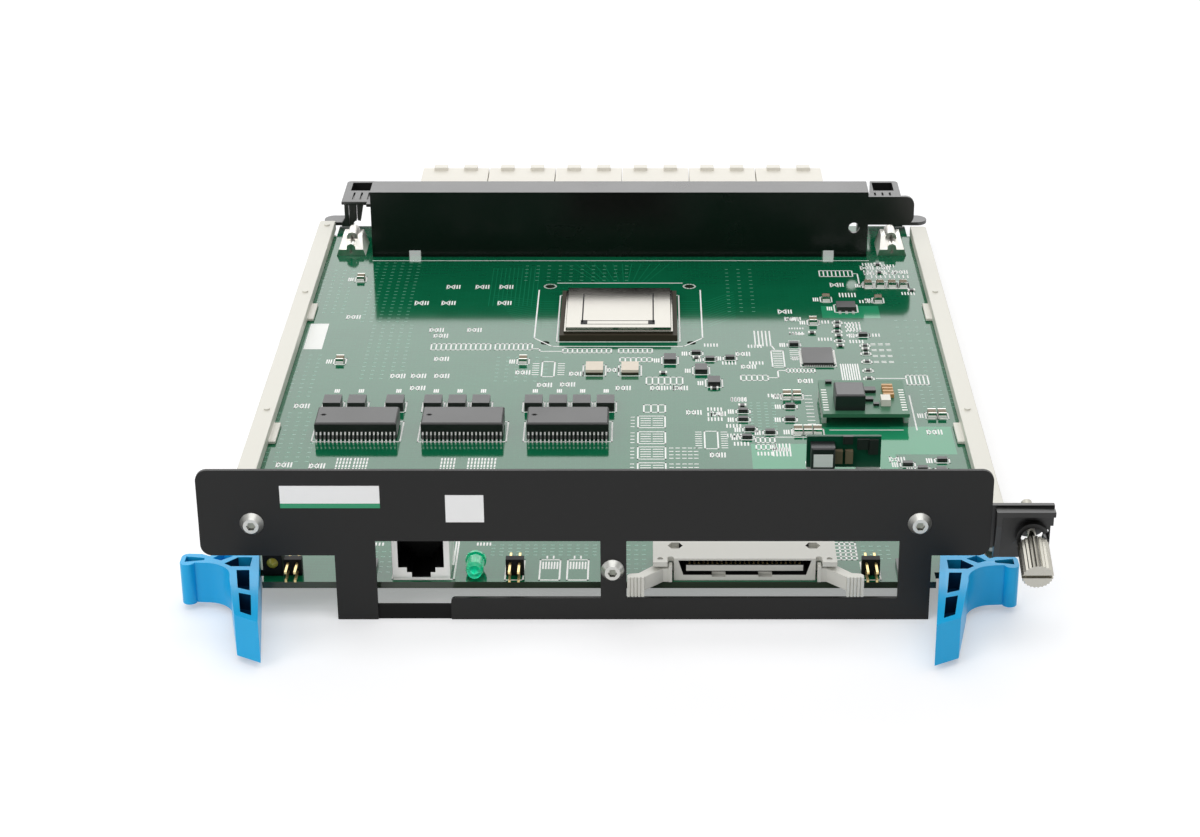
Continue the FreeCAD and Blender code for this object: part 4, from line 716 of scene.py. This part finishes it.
class SWITCHBOARD_OT_board_print(bpy.types.Operator):
    """White print on the board: part outlines, cell rows and marks where parts may be fitted"""
    bl_idname = "switchboard.board_print"
    bl_label = "Board print"

    def execute(self, context):
        marks = self.around_chip() + self.around_parts() + self.fitting_marks() + self.cell_rows()
        marks += self.module_cells() + self.array_ladder() + self.comb_groups() + self.short_rows()
        marks += self.front_marks() + self.wordless_rows() + self.converter_footprint()
        left_patch = slab(-102.8, 173.0, 0, 6.2, 22.0, sizes().print_height / MM)
        blocks("board_print", marks + [left_patch], white_print())
        return {"FINISHED"}

    def around_chip(self):
        """The cut-cornered line round the switching chip, a square close to it and two rings behind it."""
        keep_out = [(-28.8, 214.6), (-28.8, 171.5), (-22.6, 164.4), (21.8, 164.4), (28.2, 171.5),
                    (28.2, 214.6)]
        rear = [(-22.4, 221.3), (21.8, 221.3)]
        stem = [(-29.2, 162.4), (-26.6, 162.4), (-26.6, 160.2), (-18.8, 160.2)]
        gap, hole_row, ring, ring_corners = 0.8, 218.2, 2.1, 12
        marks = print_around(*board_box("switch_chip_base"), gap)
        for run in (keep_out, rear, stem):
            marks += print_run(run)
        turns = [math.tau * corner / ring_corners for corner in range(ring_corners)]
        for hole in (-25.0, 24.4):
            marks += print_outline([(hole + ring * math.cos(turn), hole_row + ring * math.sin(turn))
                                    for turn in turns])
        return marks

    def around_parts(self):
        """A line round each module, crystal and small part, and ticks beside some of them."""
        gaps = {node: 1.0 for node in MODULES}
        gaps.update(clock_crystals=0.9, chip_capacitors=0.7, line_suppressors=0.6, small_chips=0.7,
                    chip_resistors=0.6)
        far, near, half = 2.4, 1.0, 1.4
        tag_half, tag_front, tag_back = 0.6, 8.2, 10.4
        marks = []
        for node, gap in gaps.items():
            for low, high in islands(node):
                middle = (low + high) / 2
                left = low.x - gap
                marks += print_around(low, high, gap)
                if node in ("chip_capacitors", "small_chips"):
                    marks += ticks(left - far, middle.y - half, left - near, middle.y + half, 3)
                if node == "line_suppressors":
                    marks += ticks(middle.x - tag_half, high.y + tag_front, middle.x + tag_half,
                                   high.y + tag_back, 3)
        return marks

    def fitting_marks(self):
        """Crossed marks with ticks beside them, where nothing is fitted."""
        places = [(-92.9, 190.0), (-60.3, 217.7), (-50.0, 217.7), (-41.5, 217.7), (-70.4, 202.7),
                  (-61.0, 202.7), (-41.4, 202.7), (-63.3, 178.5), (-50.4, 178.5), (-61.5, 173.5),
                  (-59.8, 153.9), (-73.1, 140.0), (-66.3, 140.0), (-58.7, 140.0), (-65.8, 130.4),
                  (-101.6, 116.5), (-101.7, 73.7), (-91.6, 73.0), (-32.3, 142.8), (-24.8, 132.8),
                  (-17.3, 133.2), (-14.6, 141.8), (0.8, 130.4), (12.0, 130.4), (19.3, 130.4), (-2.2, 144.8),
                  (23.4, 111.6), (31.1, 110.6), (30.2, 80.6), (56.3, 194.8), (58.3, 188.0), (40.5, 158.0),
                  (42.0, 147.5), (60.1, 136.0), (76.0, 219.6), (98.2, 97.0), (84.8, 77.5), (88.0, 236.0),
                  (94.0, 236.0), (100.0, 232.0)]
        near, far, half = 2.2, 3.1, 1.5
        marks = []
        for x, y in places:
            marks += bow_tie(x, y) + ticks(x + near, y - half, x + far, y + half, 2)
        return marks

    def cell_rows(self):
        """Rows of open cells, and the lines that lead to them."""
        rows = [(-63.1, 161.4, -43.2, 166.6, 13), (-41.6, 161.4, -29.2, 166.6, 9),
                (-18.8, 158.9, -2.6, 162.6, 11), (-0.1, 158.9, 11.1, 162.6, 8),
                (0.4, 151.6, 11.1, 154.9, 7), (71.4, 227.6, 83.2, 233.3, 9), (9.2, 133.4, 21.0, 139.0, 7),
                (55.3, 142.8, 64.6, 146.0, 9), (40.1, 136.4, 49.0, 140.6, 6),
                (94.1, 132.9, 101.1, 140.6, 6), (43.1, 84.6, 49.0, 88.0, 5), (43.1, 89.4, 49.0, 93.0, 5),
                (86.4, 216.2, 102.4, 222.6, 2), (8.4, 111.7, 15.2, 117.3, 4)]
        leads = [[(83.2, 230.4), (85.0, 230.4), (85.0, 219.4), (86.4, 219.4)],
                 [(55.3, 144.4), (52.4, 144.4), (52.4, 138.6), (49.0, 138.6)],
                 [(84.4, 138.0), (94.1, 138.0)], [(51.3, 164.7), (52.1, 161.9)],
                 [(49.0, 93.3), (62.0, 93.3)]]
        return gather(cell_row, rows) + [mark for run in leads for mark in print_run(run)]

    def module_cells(self):
        """Four rows of short bars before the line modules."""
        length, fronts = 1.3, (70.0, 72.3, 74.6, 76.9)
        spans = [(-84.9, -80.9, 5), (-79.6, -75.8, 5), (-53.1, -49.2, 5), (-44.9, -40.8, 5),
                 (-39.9, -36.8, 4)]
        return gather(ticks, [(left, front, right, front + length, count)
                              for left, right, count in spans for front in fronts])

    def array_ladder(self):
        """Places for four resistor arrays, one behind the other, with bars beside them."""
        fronts, depth, count = (66.5, 77.7, 88.6, 100.2), 8.6, 4
        frames = [(6.6, front, 15.1, front + depth) for front in fronts]
        ladders = []
        for front in fronts:
            ladders += [(left, front + 1.7, left + 2.8, front + 6.9, count) for left in (7.6, 11.4)]
            ladders.append((4.5, front + 0.8, 5.3, front + 7.8, count))
        for front in fronts[:2]:
            ladders += [(left, front + 0.6, left + 0.9, front + 7.8, count)
                        for left in (16.4, 18.4, 20.4, 22.2, 24.0)]
        return gather(print_frame, frames) + gather(bars, ladders)

    def comb_groups(self):
        """Places for packages that are not fitted: frames with bars at their sides, and rows of bars."""
        frames = [(27.3, 85.0, 31.4, 97.6), (-25.2, 139.4, -21.1, 151.6), (50.9, 147.1, 54.9, 161.0)]
        ladders = [(24.6, 85.6, 26.2, 97.0, 8), (32.6, 85.6, 34.2, 97.0, 8),
                   (-28.2, 141.0, -26.4, 150.0, 6), (-19.8, 141.0, -18.0, 150.0, 6),
                   (51.6, 148.5, 54.2, 160.0, 9), (57.3, 154.0, 60.8, 169.0, 10)]
        combs = [(45.9, 164.7, 51.0, 177.5, 5), (73.4, 136.5, 79.0, 149.6, 8), (48.2, 79.9, 53.4, 88.4, 6),
                 (77.3, 208.4, 82.7, 211.8, 6), (36.7, 120.0, 41.1, 123.0, 5),
                 (90.0, 226.4, 103.0, 228.6, 9), (87.6, 230.4, 98.0, 233.4, 8)]
        return gather(print_frame, frames) + gather(bars, ladders) + gather(ticks, combs)

    def short_rows(self):
        """Rows of short bars on the right half of the board."""
        ladders = [(left, front, right, front + 1.0, 2) for front in (150.9, 155.8, 160.7, 165.6)
                   for left, right in ((84.9, 86.1), (87.4, 88.6), (89.9, 91.0))]
        combs = [(77.4, front, 82.2, front + 1.0, 5) for front in (173.4, 177.0, 180.6, 184.2)]
        combs += [(58.0, front, 62.6, front + 0.9, 6) for front in (174.6, 179.4)]
        return gather(bars, ladders) + gather(ticks, combs)

    def front_marks(self):
        """Print behind the bezel's windows: round the sockets, and a grid beside the ribbon header."""
        back = 12.8
        frames = [(-61.2, 1.4, -44.2, 24.2), (-30.0, 1.0, -25.0, back), (69.4, 1.0, 74.3, 12.0)]
        combs = [(-38.8, 21.6, -35.2, 23.0, 5), (-67.8, 21.6, -65.8, 23.0, 3), (21.0, 22.2, 49.0, 23.6, 24)]
        for left, right in ((-20.5, -14.9), (-12.8, -7.0)):
            frames.append((left, 1.0, right, back))
            combs += [(left + 0.8, 7.6, right - 0.8, 11.4, 6), (left + 1.8, 13.8, left + 3.6, 15.0, 2)]
        grid = cell_row(62.7, back, 68.7, 23.3, 5) + bars(62.7, 14.9, 68.7, 21.2, 4)
        jack_side = print_line((-44.9, 10.0), (-44.9, 24.2))
        return gather(print_frame, frames) + gather(ticks, combs) + grid + [jack_side]

    def wordless_rows(self):
        """Rows of short bars beside small parts, in columns from right to left."""
        length, height, count = 4.2, 2.2, 5
        columns = {99.5: (211.5,), 94.5: (230.5, 238.0), 87.7: (230.5, 239.5), 84.0: (174.0, 204.0),
                   78.0: (168.5, 179.0, 183.0), 67.5: (170.5, 185.5), 58.0: (175.5, 188.5),
                   48.5: (84.5, 124.5), 43.5: (81.5, 150.5, 164.5), 36.5: (88.5, 121.5),
                   34.5: (94.5, 101.5, 150.5), 28.8: (106.5, 110.0, 114.0, 165.5), 16.0: (130.5,)}
        return gather(ticks, [(left, middle - height / 2, left + length, middle + height / 2, count)
                              for left, middles in columns.items() for middle in middles])

    def converter_footprint(self):
        """Print round the flat converter: a line before it and one at its right, and a comb at its left."""
        low, high = board_box("converter_plate")
        margin, comb = 2.2, 2.0
        front, right, left = low.y - margin, high.x + margin, low.x - margin
        marks = [print_line((low.x + margin, front), (high.x - margin, front)),
                 print_line((right, front), (right, high.y - margin))]
        return marks + bars(left - comb, low.y + margin, left, high.y - margin, 9)


class SWITCHBOARD_OT_copper(bpy.types.Operator):
    """Copper under the mask: rows of vias, pours and tracks round the switching chip"""
    bl_idname = "switchboard.copper"
    bl_label = "Copper"

    def execute(self, context):
        thin = sizes().print_height / MM / 4
        blocks("masked_vias", self.vias(), masked_via())
        pours = [(52.0, 79.0, 21.0, 19.0), (74.0, 84.0, 23.0, 33.0), (95.0, 91.0, 19.0, 20.0),
                 (80.0, 194.5, 20.0, 11.0)]
        sheets = [slab(x, y, 0, width, depth, thin) for x, y, width, depth in pours]
        blocks("copper_pours", sheets, copper_pour())
        blocks("copper_tracks", self.tracks(thin), copper_track())
        mask_edge = line((-90.5, 243.2), (90.0, 243.2), MASK_EDGE_WIDTH, thin)
        blocks("mask_edge", [mask_edge], white_print())
        return {"FINISHED"}

    def vias(self):
        """Fields of vias: left, front, right and back, the steps across and along, and one field's lean."""
        return gather(dashes, [
            (-88.6, 186.0, -71.0, 242.0, 3.0, 3.05, 0.02), (-106.0, 194.0, -96.0, 236.0, 3.2, 3.3),
            (-84.0, 138.0, -69.0, 183.0, 3.2, 3.2), (-106.0, 124.0, -97.0, 160.0, 3.2, 3.3),
            (-107.0, 76.0, -93.0, 112.0, 3.2, 3.2), (-40.0, 136.0, -21.0, 158.0, 3.2, 3.2),
            (98.0, 116.0, 108.0, 147.0, 3.1, 3.1), (95.0, 151.0, 110.0, 187.0, 3.3, 6.0),
            (38.0, 195.0, 50.0, 236.0, 4.2, 3.6), (-34.0, 224.0, 4.0, 238.0, 4.0, 3.5),
            (42.5, 99.0, 50.0, 119.0, 2.4, 2.2), (-34.2, 15.7, -5.0, 21.8, 2.4, 2.0),
            (-67.3, 5.7, -62.6, 19.4, 2.2, 3.0), (70.8, 13.5, 79.6, 21.0, 2.3, 2.5),
            (4.2, 4.7, 9.0, 21.8, 2.2, 2.8)])

    def tracks(self, thin):
        """Six fans of tracks: two spans at each side of the chip, one at the left and one behind it."""
        count, row, row_step, column, column_step = 12, 181.0, 2.1, -46.0, 1.5
        runs = []
        for n in range(count):
            y = row + row_step * n
            x = column + column_step * n
            spans = [((-17.0, y), (-27.0, y)), ((-27.0, y), (-36.0 - 0.8 * n, y + 6.0)),
                     ((17.0, y), (30.0, y)), ((30.0, y), (40.0, y + 9.0)), ((x, 200.0), (x, 236.0)),
                     ((-8.0 + 1.5 * n, 221.0), (-20.0 + 3.4 * n, 240.0))]
            runs += [line(start, end, TRACK_WIDTH, thin) for start, end in spans]
        return runs


class SWITCHBOARD_OT_bezel(bpy.types.Operator):
    """Front bezel with its screws, blank labels and hidden brackets"""
    bl_idname = "switchboard.bezel"
    bl_label = "Bezel"

    def execute(self, context):
        # Painted shade: the faces of the bezel's set-back bar take the darker, duller black finish for the
        # shade on that recessed strip.
        set_back_bar = ((-64.9, -4.7, -9.0), (-44.5, -4.3, -4.5))
        softened("bezel_panel", black_sheet(), shade_box=set_back_bar, shade_finish=black_moulding_and_shade())
        paint(stiffener_black(), "panel_bracket_left", "panel_bracket_right", "panel_bracket_middle")
        paint(zinc_plate(), "bezel_screws")
        self.floor_sockets()
        self.stick_labels()
        return {"FINISHED"}

    def floor_sockets(self):
        """A dull floor in the hexagon socket of each screw."""
        across, sunk, thin = 1.7, 0.85, 0.1
        floors = []
        for low, high in islands("bezel_screws"):
            middle = (low + high) / 2
            floors.append(slab(middle.x, low.y + sunk, middle.z - across / 2, across, thin, across))
        blocks("screw_sockets", floors, dull_tin())

    def stick_labels(self):
        """Two blank labels on the bezel's face, and the green stripe along the foot of the wide one."""
        thin = sizes().label_height / MM
        y = board_box("bezel_panel")[0].y - thin / 2
        middle, width, foot, stripe = -76.4, 27.0, 25.5, 1.4
        white = [slab(middle, y, foot + stripe, width, thin, 5.3), slab(-40.0, y, 21.2, 10.4, thin, 8.2)]
        blocks("blank_labels", white, label_white())
        blocks("label_stripe", [slab(middle, y, foot, width, thin, stripe)], label_green())


class SWITCHBOARD_OT_levers(bpy.types.Operator):
    """Ejector levers and their pivot pins"""
    bl_idname = "switchboard.levers"
    bl_label = "Ejector levers"

    def execute(self, context):
        pocket_back, pocket_top = 3.0, 4.9
        for side in SIDES:
            node = f"ejector_lever_{side}"
            low, high = board_box(node)
            # Painted shade: the faces of the lever's pockets take the darker lever_shade blue.
            pockets = ((low.x, low.y, 0.0), (high.x, pocket_back, pocket_top))
            softened(node, lever_blue(), sizes().mould_edge, shade_box=pockets, shade_finish=lever_shade())
            paint(zinc_plate(), f"lever_pin_{side}")
        return {"FINISHED"}


class SWITCHBOARD_OT_thumbscrew(bpy.types.Operator):
    """Captive thumbscrew in its hooded bracket"""
    bl_idname = "switchboard.thumbscrew"
    bl_label = "Thumbscrew"

    def execute(self, context):
        softened("thumbscrew_bracket", hood_black())
        paint(knob_nickel(), "thumbscrew")
        paint(stiffener_black(), "thumbscrew_ring")
        return {"FINISHED"}


class SWITCHBOARD_OT_rails(bpy.types.Operator):
    """Guide rails and the pin heads on them"""
    bl_idname = "switchboard.rails"
    bl_label = "Guide rails"

    def execute(self, context):
        for side in SIDES:
            softened(f"guide_rail_{side}", rail_cream(), sizes().mould_edge)
        paint(rail_cream(), "rail_pins")
        return {"FINISHED"}


class SWITCHBOARD_OT_rear(bpy.types.Operator):
    """Stiffener, end blocks, guide sockets and backplane connectors"""
    bl_idname = "switchboard.rear"
    bl_label = "Rear parts"

    def execute(self, context):
        softened("rear_stiffener", stiffener_black())
        for side in SIDES:
            softened(f"end_block_{side}", end_block_black())
            softened(f"guide_socket_{side}", nickel_plate())
        for node in frame["nodes"]:
            if node.startswith("backplane_connector"):
                softened(node, backplane_white())
        return {"FINISHED"}


class SWITCHBOARD_OT_front_sockets(bpy.types.Operator):
    """Jack, lamps, pin headers and the latched ribbon header"""
    bl_idname = "switchboard.front_sockets"
    bl_label = "Front sockets"

    def execute(self, context):
        # Painted shade: the insides of the jack's and the ribbon header's mouths take the near-black finish
        # for the shade deep in them.
        jack_mouth = ((-60.4, 1.9, 0.15), (-45.9, 16.0, 12.5))
        ribbon_mouth = ((17.9, 2.2, 1.6), (55.1, 10.0, 6.5))
        softened("network_jack", jack_white(), shade_box=jack_mouth, shade_finish=socket_dark())
        softened("indicator_housing", black_moulding_and_shade())
        softened("pin_headers", black_moulding_and_shade())
        softened("ribbon_header", connector_grey(), shade_box=ribbon_mouth, shade_finish=socket_dark())
        for side in SIDES:
            softened(f"ribbon_latch_{side}", connector_grey())
        paint(lamp_green(), "status_lamp")
        paint(tin_plate(), "status_lamp_legs")
        paint(lamp_yellow(), "indicator_lens")
        paint(gold_plate(), "jack_contacts", "header_pins", "ribbon_contacts")
        paint(zinc_plate(), "latch_pins")
        return {"FINISHED"}


class SWITCHBOARD_OT_chips(bpy.types.Operator):
    """Switching chip, line modules, converters and small parts"""
    bl_idname = "switchboard.chips"
    bl_label = "Chips and modules"

    def execute(self, context):
        softened("switch_chip_lid", lid_metal())
        for node in MODULES:
            softened(node, package_epoxy())
        for node in ("converter_coil", "upright_choke"):
            softened(node, ferrite())
        paint(chip_laminate(), "switch_chip_base", "clock_crystals")
        paint(module_lead(), "transformer_leads")
        paint(package_epoxy(), "line_suppressors", "small_chips", "chip_resistors")
        paint(tin_plate(), "converter_posts", "upright_feet", "chip_leads")
        paint(ceramic_tan(), "chip_capacitors")
        self.dress_lid()
        self.dress_modules()
        self.close_crystals()
        self.add_package_leads()
        self.tin_the_ends()
        self.add_small_parts()
        self.fill_converters()
        return {"FINISHED"}

    def dress_lid(self):
        """Painted shade on the chip's lid: thin dark strips for the shade in a shallow square groove, and
        two dark patches for the shade in the notches at its front corners.
        """
        top = board_box("switch_chip_lid")[1].z
        left, front, right, back = -12.6, 175.6, 11.5, 201.0
        thin, side, fine, rear, corner = 0.04, 0.5, 0.3, 0.4, 2.4
        before, behind = front - 1.6, front + 1.4
        notch, notch_width, notch_depth = 0.6, 2.3, 3.6
        spans = [((left, front), (left, back), side), ((right, front), (right, back), side),
                 ((left, before), (right, before), fine), ((left, behind), (right, behind), fine),
                 ((left, back), (left + corner, back), rear), ((right - corner, back), (right, back), rear)]
        recess_shade = [line(start, end, width, thin, top) for start, end, width in spans]
        for x in (left + notch, right - notch):
            recess_shade.append(slab(x, front, top, notch_width, notch_depth, thin))
        blocks("lid_grooves", recess_shade, socket_dark())

    def dress_modules(self):
        """A shallow dimple at the left end of each line module's top, of two crossed blocks."""
        inset, thin = 2.3, 0.02
        dimples = []
        for node in MODULES:
            low, high = board_box(node)
            for width, depth in ((1.8, 0.7), (1.0, 1.4)):
                dimples.append(slab(low.x + inset, (low.y + high.y) / 2, high.z, width, depth, thin))
        blocks("module_dimples", dimples, socket_dark())

    def close_crystals(self):
        """A cream lid over the upper half of each crystal's dark base."""
        over = CAP_OVERLAP
        lids = []
        for low, high in islands("clock_crystals"):
            size, middle = high - low, (low + high) / 2
            lids.append(slab(*middle, size.x + over, size.y + over, size.z / 2 + over))
        blocks("crystal_lids", lids, crystal_cream())

    def add_package_leads(self):
        """A row of tinned leads before and behind the widest small package."""
        low, high = max(islands("small_chips"), key=lambda corners: corners[1].x - corners[0].x)
        count, width, reach, sheet = 16, 0.32, 0.9, 0.4
        step = (high.x - low.x) / (count + 1)
        leads = [slab(low.x + step * (n + 1), edge, 0, width, reach, sheet)
                 for n in range(count) for edge in (low.y - reach / 2, high.y + reach / 2)]
        blocks("package_leads", leads, tin_plate())

    def tin_the_ends(self):
        """Tinned caps on both ends of the capacitors and resistors, and solder at the capacitors' feet."""
        blocks("capacitor_ends", self.end_caps("chip_capacitors", 0.13), cap_tin())
        blocks("resistor_ends", self.end_caps("chip_resistors", 0.18), solder_bright())
        reach, rise = 0.6, 0.7
        solder = []
        for low, high in islands("chip_capacitors"):
            for y in (low.y - reach / 2, high.y + reach / 2):
                solder.append(slab((low.x + high.x) / 2, y, low.z, high.x - low.x, reach, rise))
        blocks("capacitor_solder", solder, solder_bright())

    def end_caps(self, node, share):
        """One cap over each end of every part in a node. Share is a cap's part of the length."""
        over = CAP_OVERLAP
        caps = []
        for low, high in islands(node):
            size = high - low
            along = 1 if size.y > size.x else 0
            wrap = size[along] * share
            shape = [size.x + 2 * over, size.y + 2 * over]
            shape[along] = wrap
            for end, inward in ((low, 1), (high, -1)):
                middle = (low + high) / 2
                middle[along] = end[along] + inward * (wrap / 2 - over)
                caps.append(slab(middle.x, middle.y, low.z, *shape, size.z + over))
        return caps

    def add_small_parts(self):
        """Resistors too small for solids of their own, each with a tinned end to its left and right."""
        places = [(74.4, 164.5), (74.4, 172.9), (74.4, 181.0), (82.6, 161.5), (65.5, 175.5), (93.0, 231.0),
                  (93.0, 239.0), (103.0, 214.0), (25.8, 154.6), (31.2, 129.8), (14.7, 142.0), (39.8, 116.4)]
        width, depth, height, end = 1.4, 1.6, 0.6, 0.6
        bodies = [slab(x, y, 0, width, depth, height) for x, y in places]
        blocks("small_resistors", bodies, package_epoxy())
        caps = [slab(x + side * (width + end) / 2, y, 0, end, depth, height)
                for x, y in places for side in (-1, 1)]
        blocks("small_resistor_ends", caps, solder_bright())

    def fill_converters(self):
        """Capacitors, packages, pads and a blank label on the two converters."""
        low, high = board_box("converter_plate")
        top, face = high.z, board_box("upright_board")[0].y
        row, row_step, capacitor = 113.4, 2.3, (3.4, 1.3, 1.3)
        orange = [slab(86.0, row + row_step * n, top, *capacitor) for n in range(4)]
        blocks("converter_capacitors", orange, ceramic_orange())
        inset, first_pad, pad_step, pad = 1.3, 3.0, 1.9, (1.7, 0.8, 0.05)
        pads = [slab(x, low.y + first_pad + pad_step * n, top, *pad)
                for x in (low.x + inset, high.x - inset) for n in range(9)]
        blocks("converter_pads", pads, solder_bright())
        pale = [slab(84.6, 108.6, top, 3.0, 4.2, 2.2)]
        blocks("converter_film_capacitor", pale, backplane_white())
        dark = [slab(80.4, 118.0, top, 3.6, 3.0, 1.0), slab(79.6, 111.0, top, 2.6, 2.0, 0.9),
                slab(81.6, 107.4, top, 1.8, 1.4, 0.8), slab(67.6, 124.4, top, 2.0, 1.6, 0.9)]
        package_depth, upright_foot, upright_size = 1.0, 4.2, (2.3, 1.6, 4.2)
        for x, z, width, height in ((74.2, 8.6, 3.6, 3.4), (69.6, 10.4, 3.0, 2.6), (77.2, 7.0, 3.0, 4.8)):
            dark.append(slab(x, face - package_depth / 2, z, width, package_depth, height))
        blocks("converter_packages", dark, package_epoxy())
        upright_middle = face - upright_size[1] / 2
        tan = [slab(x, upright_middle, upright_foot, *upright_size) for x in (66.9, 70.0)]
        blocks("upright_capacitors", tan, ceramic_tan())
        self.label_choke()

    def label_choke(self):
        """A blank label on the front of the upright converter's choke."""
        low, high = islands("upright_choke")[0]
        foot, thin, width_share, height_share = 1.4, 0.1, 0.8, 0.55
        size = high - low
        label = slab((low.x + high.x) / 2, low.y - thin / 2, low.z + foot, size.x * width_share, thin,
                     size.z * height_share)
        blocks("choke_label", [label], label_white())


class SWITCHBOARD_OT_stage(bpy.types.Operator):
    """Pale floor, soft studio light and the camera at the photograph's angle"""
    bl_idname = "switchboard.stage"
    bl_label = "Stage"

    def execute(self, context):
        self.add_floor()
        self.light_world(context)
        self.add_softbox("overhead", (0.0, -0.15, 1.5), (1.6, 1.6), 9.0)
        self.add_softbox("rear", (0.0, 1.55, 0.85), (2.6, 1.0), 11.7)
        self.add_softbox("front_left", (-1.2, -1.2, 0.9), (1.0, 1.0), 7.0)
        self.add_dark_card()
        self.add_camera(context)
        context.scene.view_settings.view_transform = "Standard"
        return {"FINISHED"}

    def add_sheet(self, name, corners, paper, values):
        """A flat sheet for the stage, in a plain finish with the shader values that are given."""
        mesh = bpy.data.meshes.new(name)
        mesh.from_pydata(corners, [], [(0, 1, 2, 3)])
        material = bpy.data.materials.new(paper)
        material.use_nodes = True
        set_inputs(material.node_tree.nodes["Principled BSDF"], values)
        mesh.materials.append(material)
        sheet = link(name, mesh)
        return sheet

    def add_floor(self):
        """White paper under the part, which glows a little where it is seen, and keeps the shadow."""
        reach, sunk, glow = 6.0, 0.05 * MM, 0.32
        corners = [(-reach, -reach, 0), (reach, -reach, 0), (reach, reach, 0), (-reach, reach, 0)]
        floor = self.add_sheet("floor", corners, "floor_paper", {
            "Base Color": (0.78, 0.78, 0.79, 1), "Roughness": 0.9, "Specular IOR Level": 0.1,
            "Emission Color": (1, 1, 1, 1)})
        floor.location.z = -sunk
        tree = floor.active_material.node_tree
        strength = arithmetic(tree, "MULTIPLY", seen_directly(tree), glow)
        tree.links.new(strength, tree.nodes["Principled BSDF"].inputs["Emission Strength"])

    def add_dark_card(self):
        """A black card behind the camera, seen only where something glossy reflects it."""
        reach, behind, high = 2.6, -1.7, 2.2
        corners = [(-reach, behind, 0), (reach, behind, 0), (reach, behind, high), (-reach, behind, high)]
        card = self.add_sheet("dark_card", corners, "card_black", {
            "Base Color": (0.02, 0.02, 0.02, 1), "Roughness": 1.0, "Specular IOR Level": 0.0})
        card.visible_camera = False
        card.visible_diffuse = False
        card.visible_transmission = False
        card.visible_shadow = False

    def light_world(self, context):
        """A white surround that lights the part with half of the strength at which it is seen."""
        world = bpy.data.worlds.new("studio")
        world.use_nodes = True
        context.scene.world = world
        tree = world.node_tree
        sky = tree.nodes["Background"]
        sky.inputs["Color"].default_value = (1, 1, 1, 1)
        fill = 0.5
        shown = arithmetic(tree, "MULTIPLY", seen_directly(tree), 1 - fill)
        tree.links.new(arithmetic(tree, "ADD", shown, fill), sky.inputs["Strength"])

    def add_softbox(self, name, place, size, power):
        lamp = bpy.data.lights.new(name, "AREA")
        lamp.shape = "RECTANGLE"
        lamp.size, lamp.size_y = size
        lamp.energy = power
        holder = link(name, lamp)
        holder.location = place
        aim = Vector((0, 0, 0.02)) - Vector(place)
        holder.rotation_euler = aim.to_track_quat("-Z", "Y").to_euler()

    def add_camera(self, context):
        lens = bpy.data.cameras.new("camera")
        lens.sensor_width = 36.0
        lens.lens = 75.5
        lens.shift_x = -0.04
        lens.clip_start = 0.01
        holder = link("camera", lens)
        holder.location = on_board(9.72, -612.79, 335.67)
        holder.rotation_euler = (math.radians(65.0), 0, 0)
        context.scene.camera = holder


OPERATORS = (
    SWITCHBOARD_OT_circuit_board, SWITCHBOARD_OT_board_print, SWITCHBOARD_OT_copper, SWITCHBOARD_OT_bezel,
    SWITCHBOARD_OT_levers, SWITCHBOARD_OT_thumbscrew, SWITCHBOARD_OT_rails, SWITCHBOARD_OT_rear,
    SWITCHBOARD_OT_front_sockets, SWITCHBOARD_OT_chips, SWITCHBOARD_OT_stage,
)


class SWITCHBOARD_PT_panel(bpy.types.Panel):
    """Lists the steps that dress the board"""
    bl_idname = "SWITCHBOARD_PT_panel"
    bl_label = "Switch board"
    bl_space_type = "VIEW_3D"
    bl_region_type = "UI"
    bl_category = "Switch board"

    def draw(self, context):
        for group in (context.scene.switch_board_colours, context.scene.switch_board_sizes):
            for name in group.bl_rna.properties.keys():
                if name not in ("rna_type", "name"):
                    self.layout.prop(group, name)
        for operator in OPERATORS:
            self.layout.operator(operator.bl_idname)


CLASSES = (SwitchBoardColours, SwitchBoardSizes, *OPERATORS, SWITCHBOARD_PT_panel)


def register():
    for item in CLASSES:
        bpy.utils.register_class(item)
    bpy.types.Scene.switch_board_colours = bpy.props.PointerProperty(type=SwitchBoardColours)
    bpy.types.Scene.switch_board_sizes = bpy.props.PointerProperty(type=SwitchBoardSizes)


def unregister():
    del bpy.types.Scene.switch_board_sizes
    del bpy.types.Scene.switch_board_colours
    for item in reversed(CLASSES):
        bpy.utils.unregister_class(item)


def main():
    register()
    for operator in OPERATORS:
        step = operator.bl_idname.split(".")[1]
        getattr(bpy.ops.switchboard, step)()


if __name__ == "__main__":
    main()
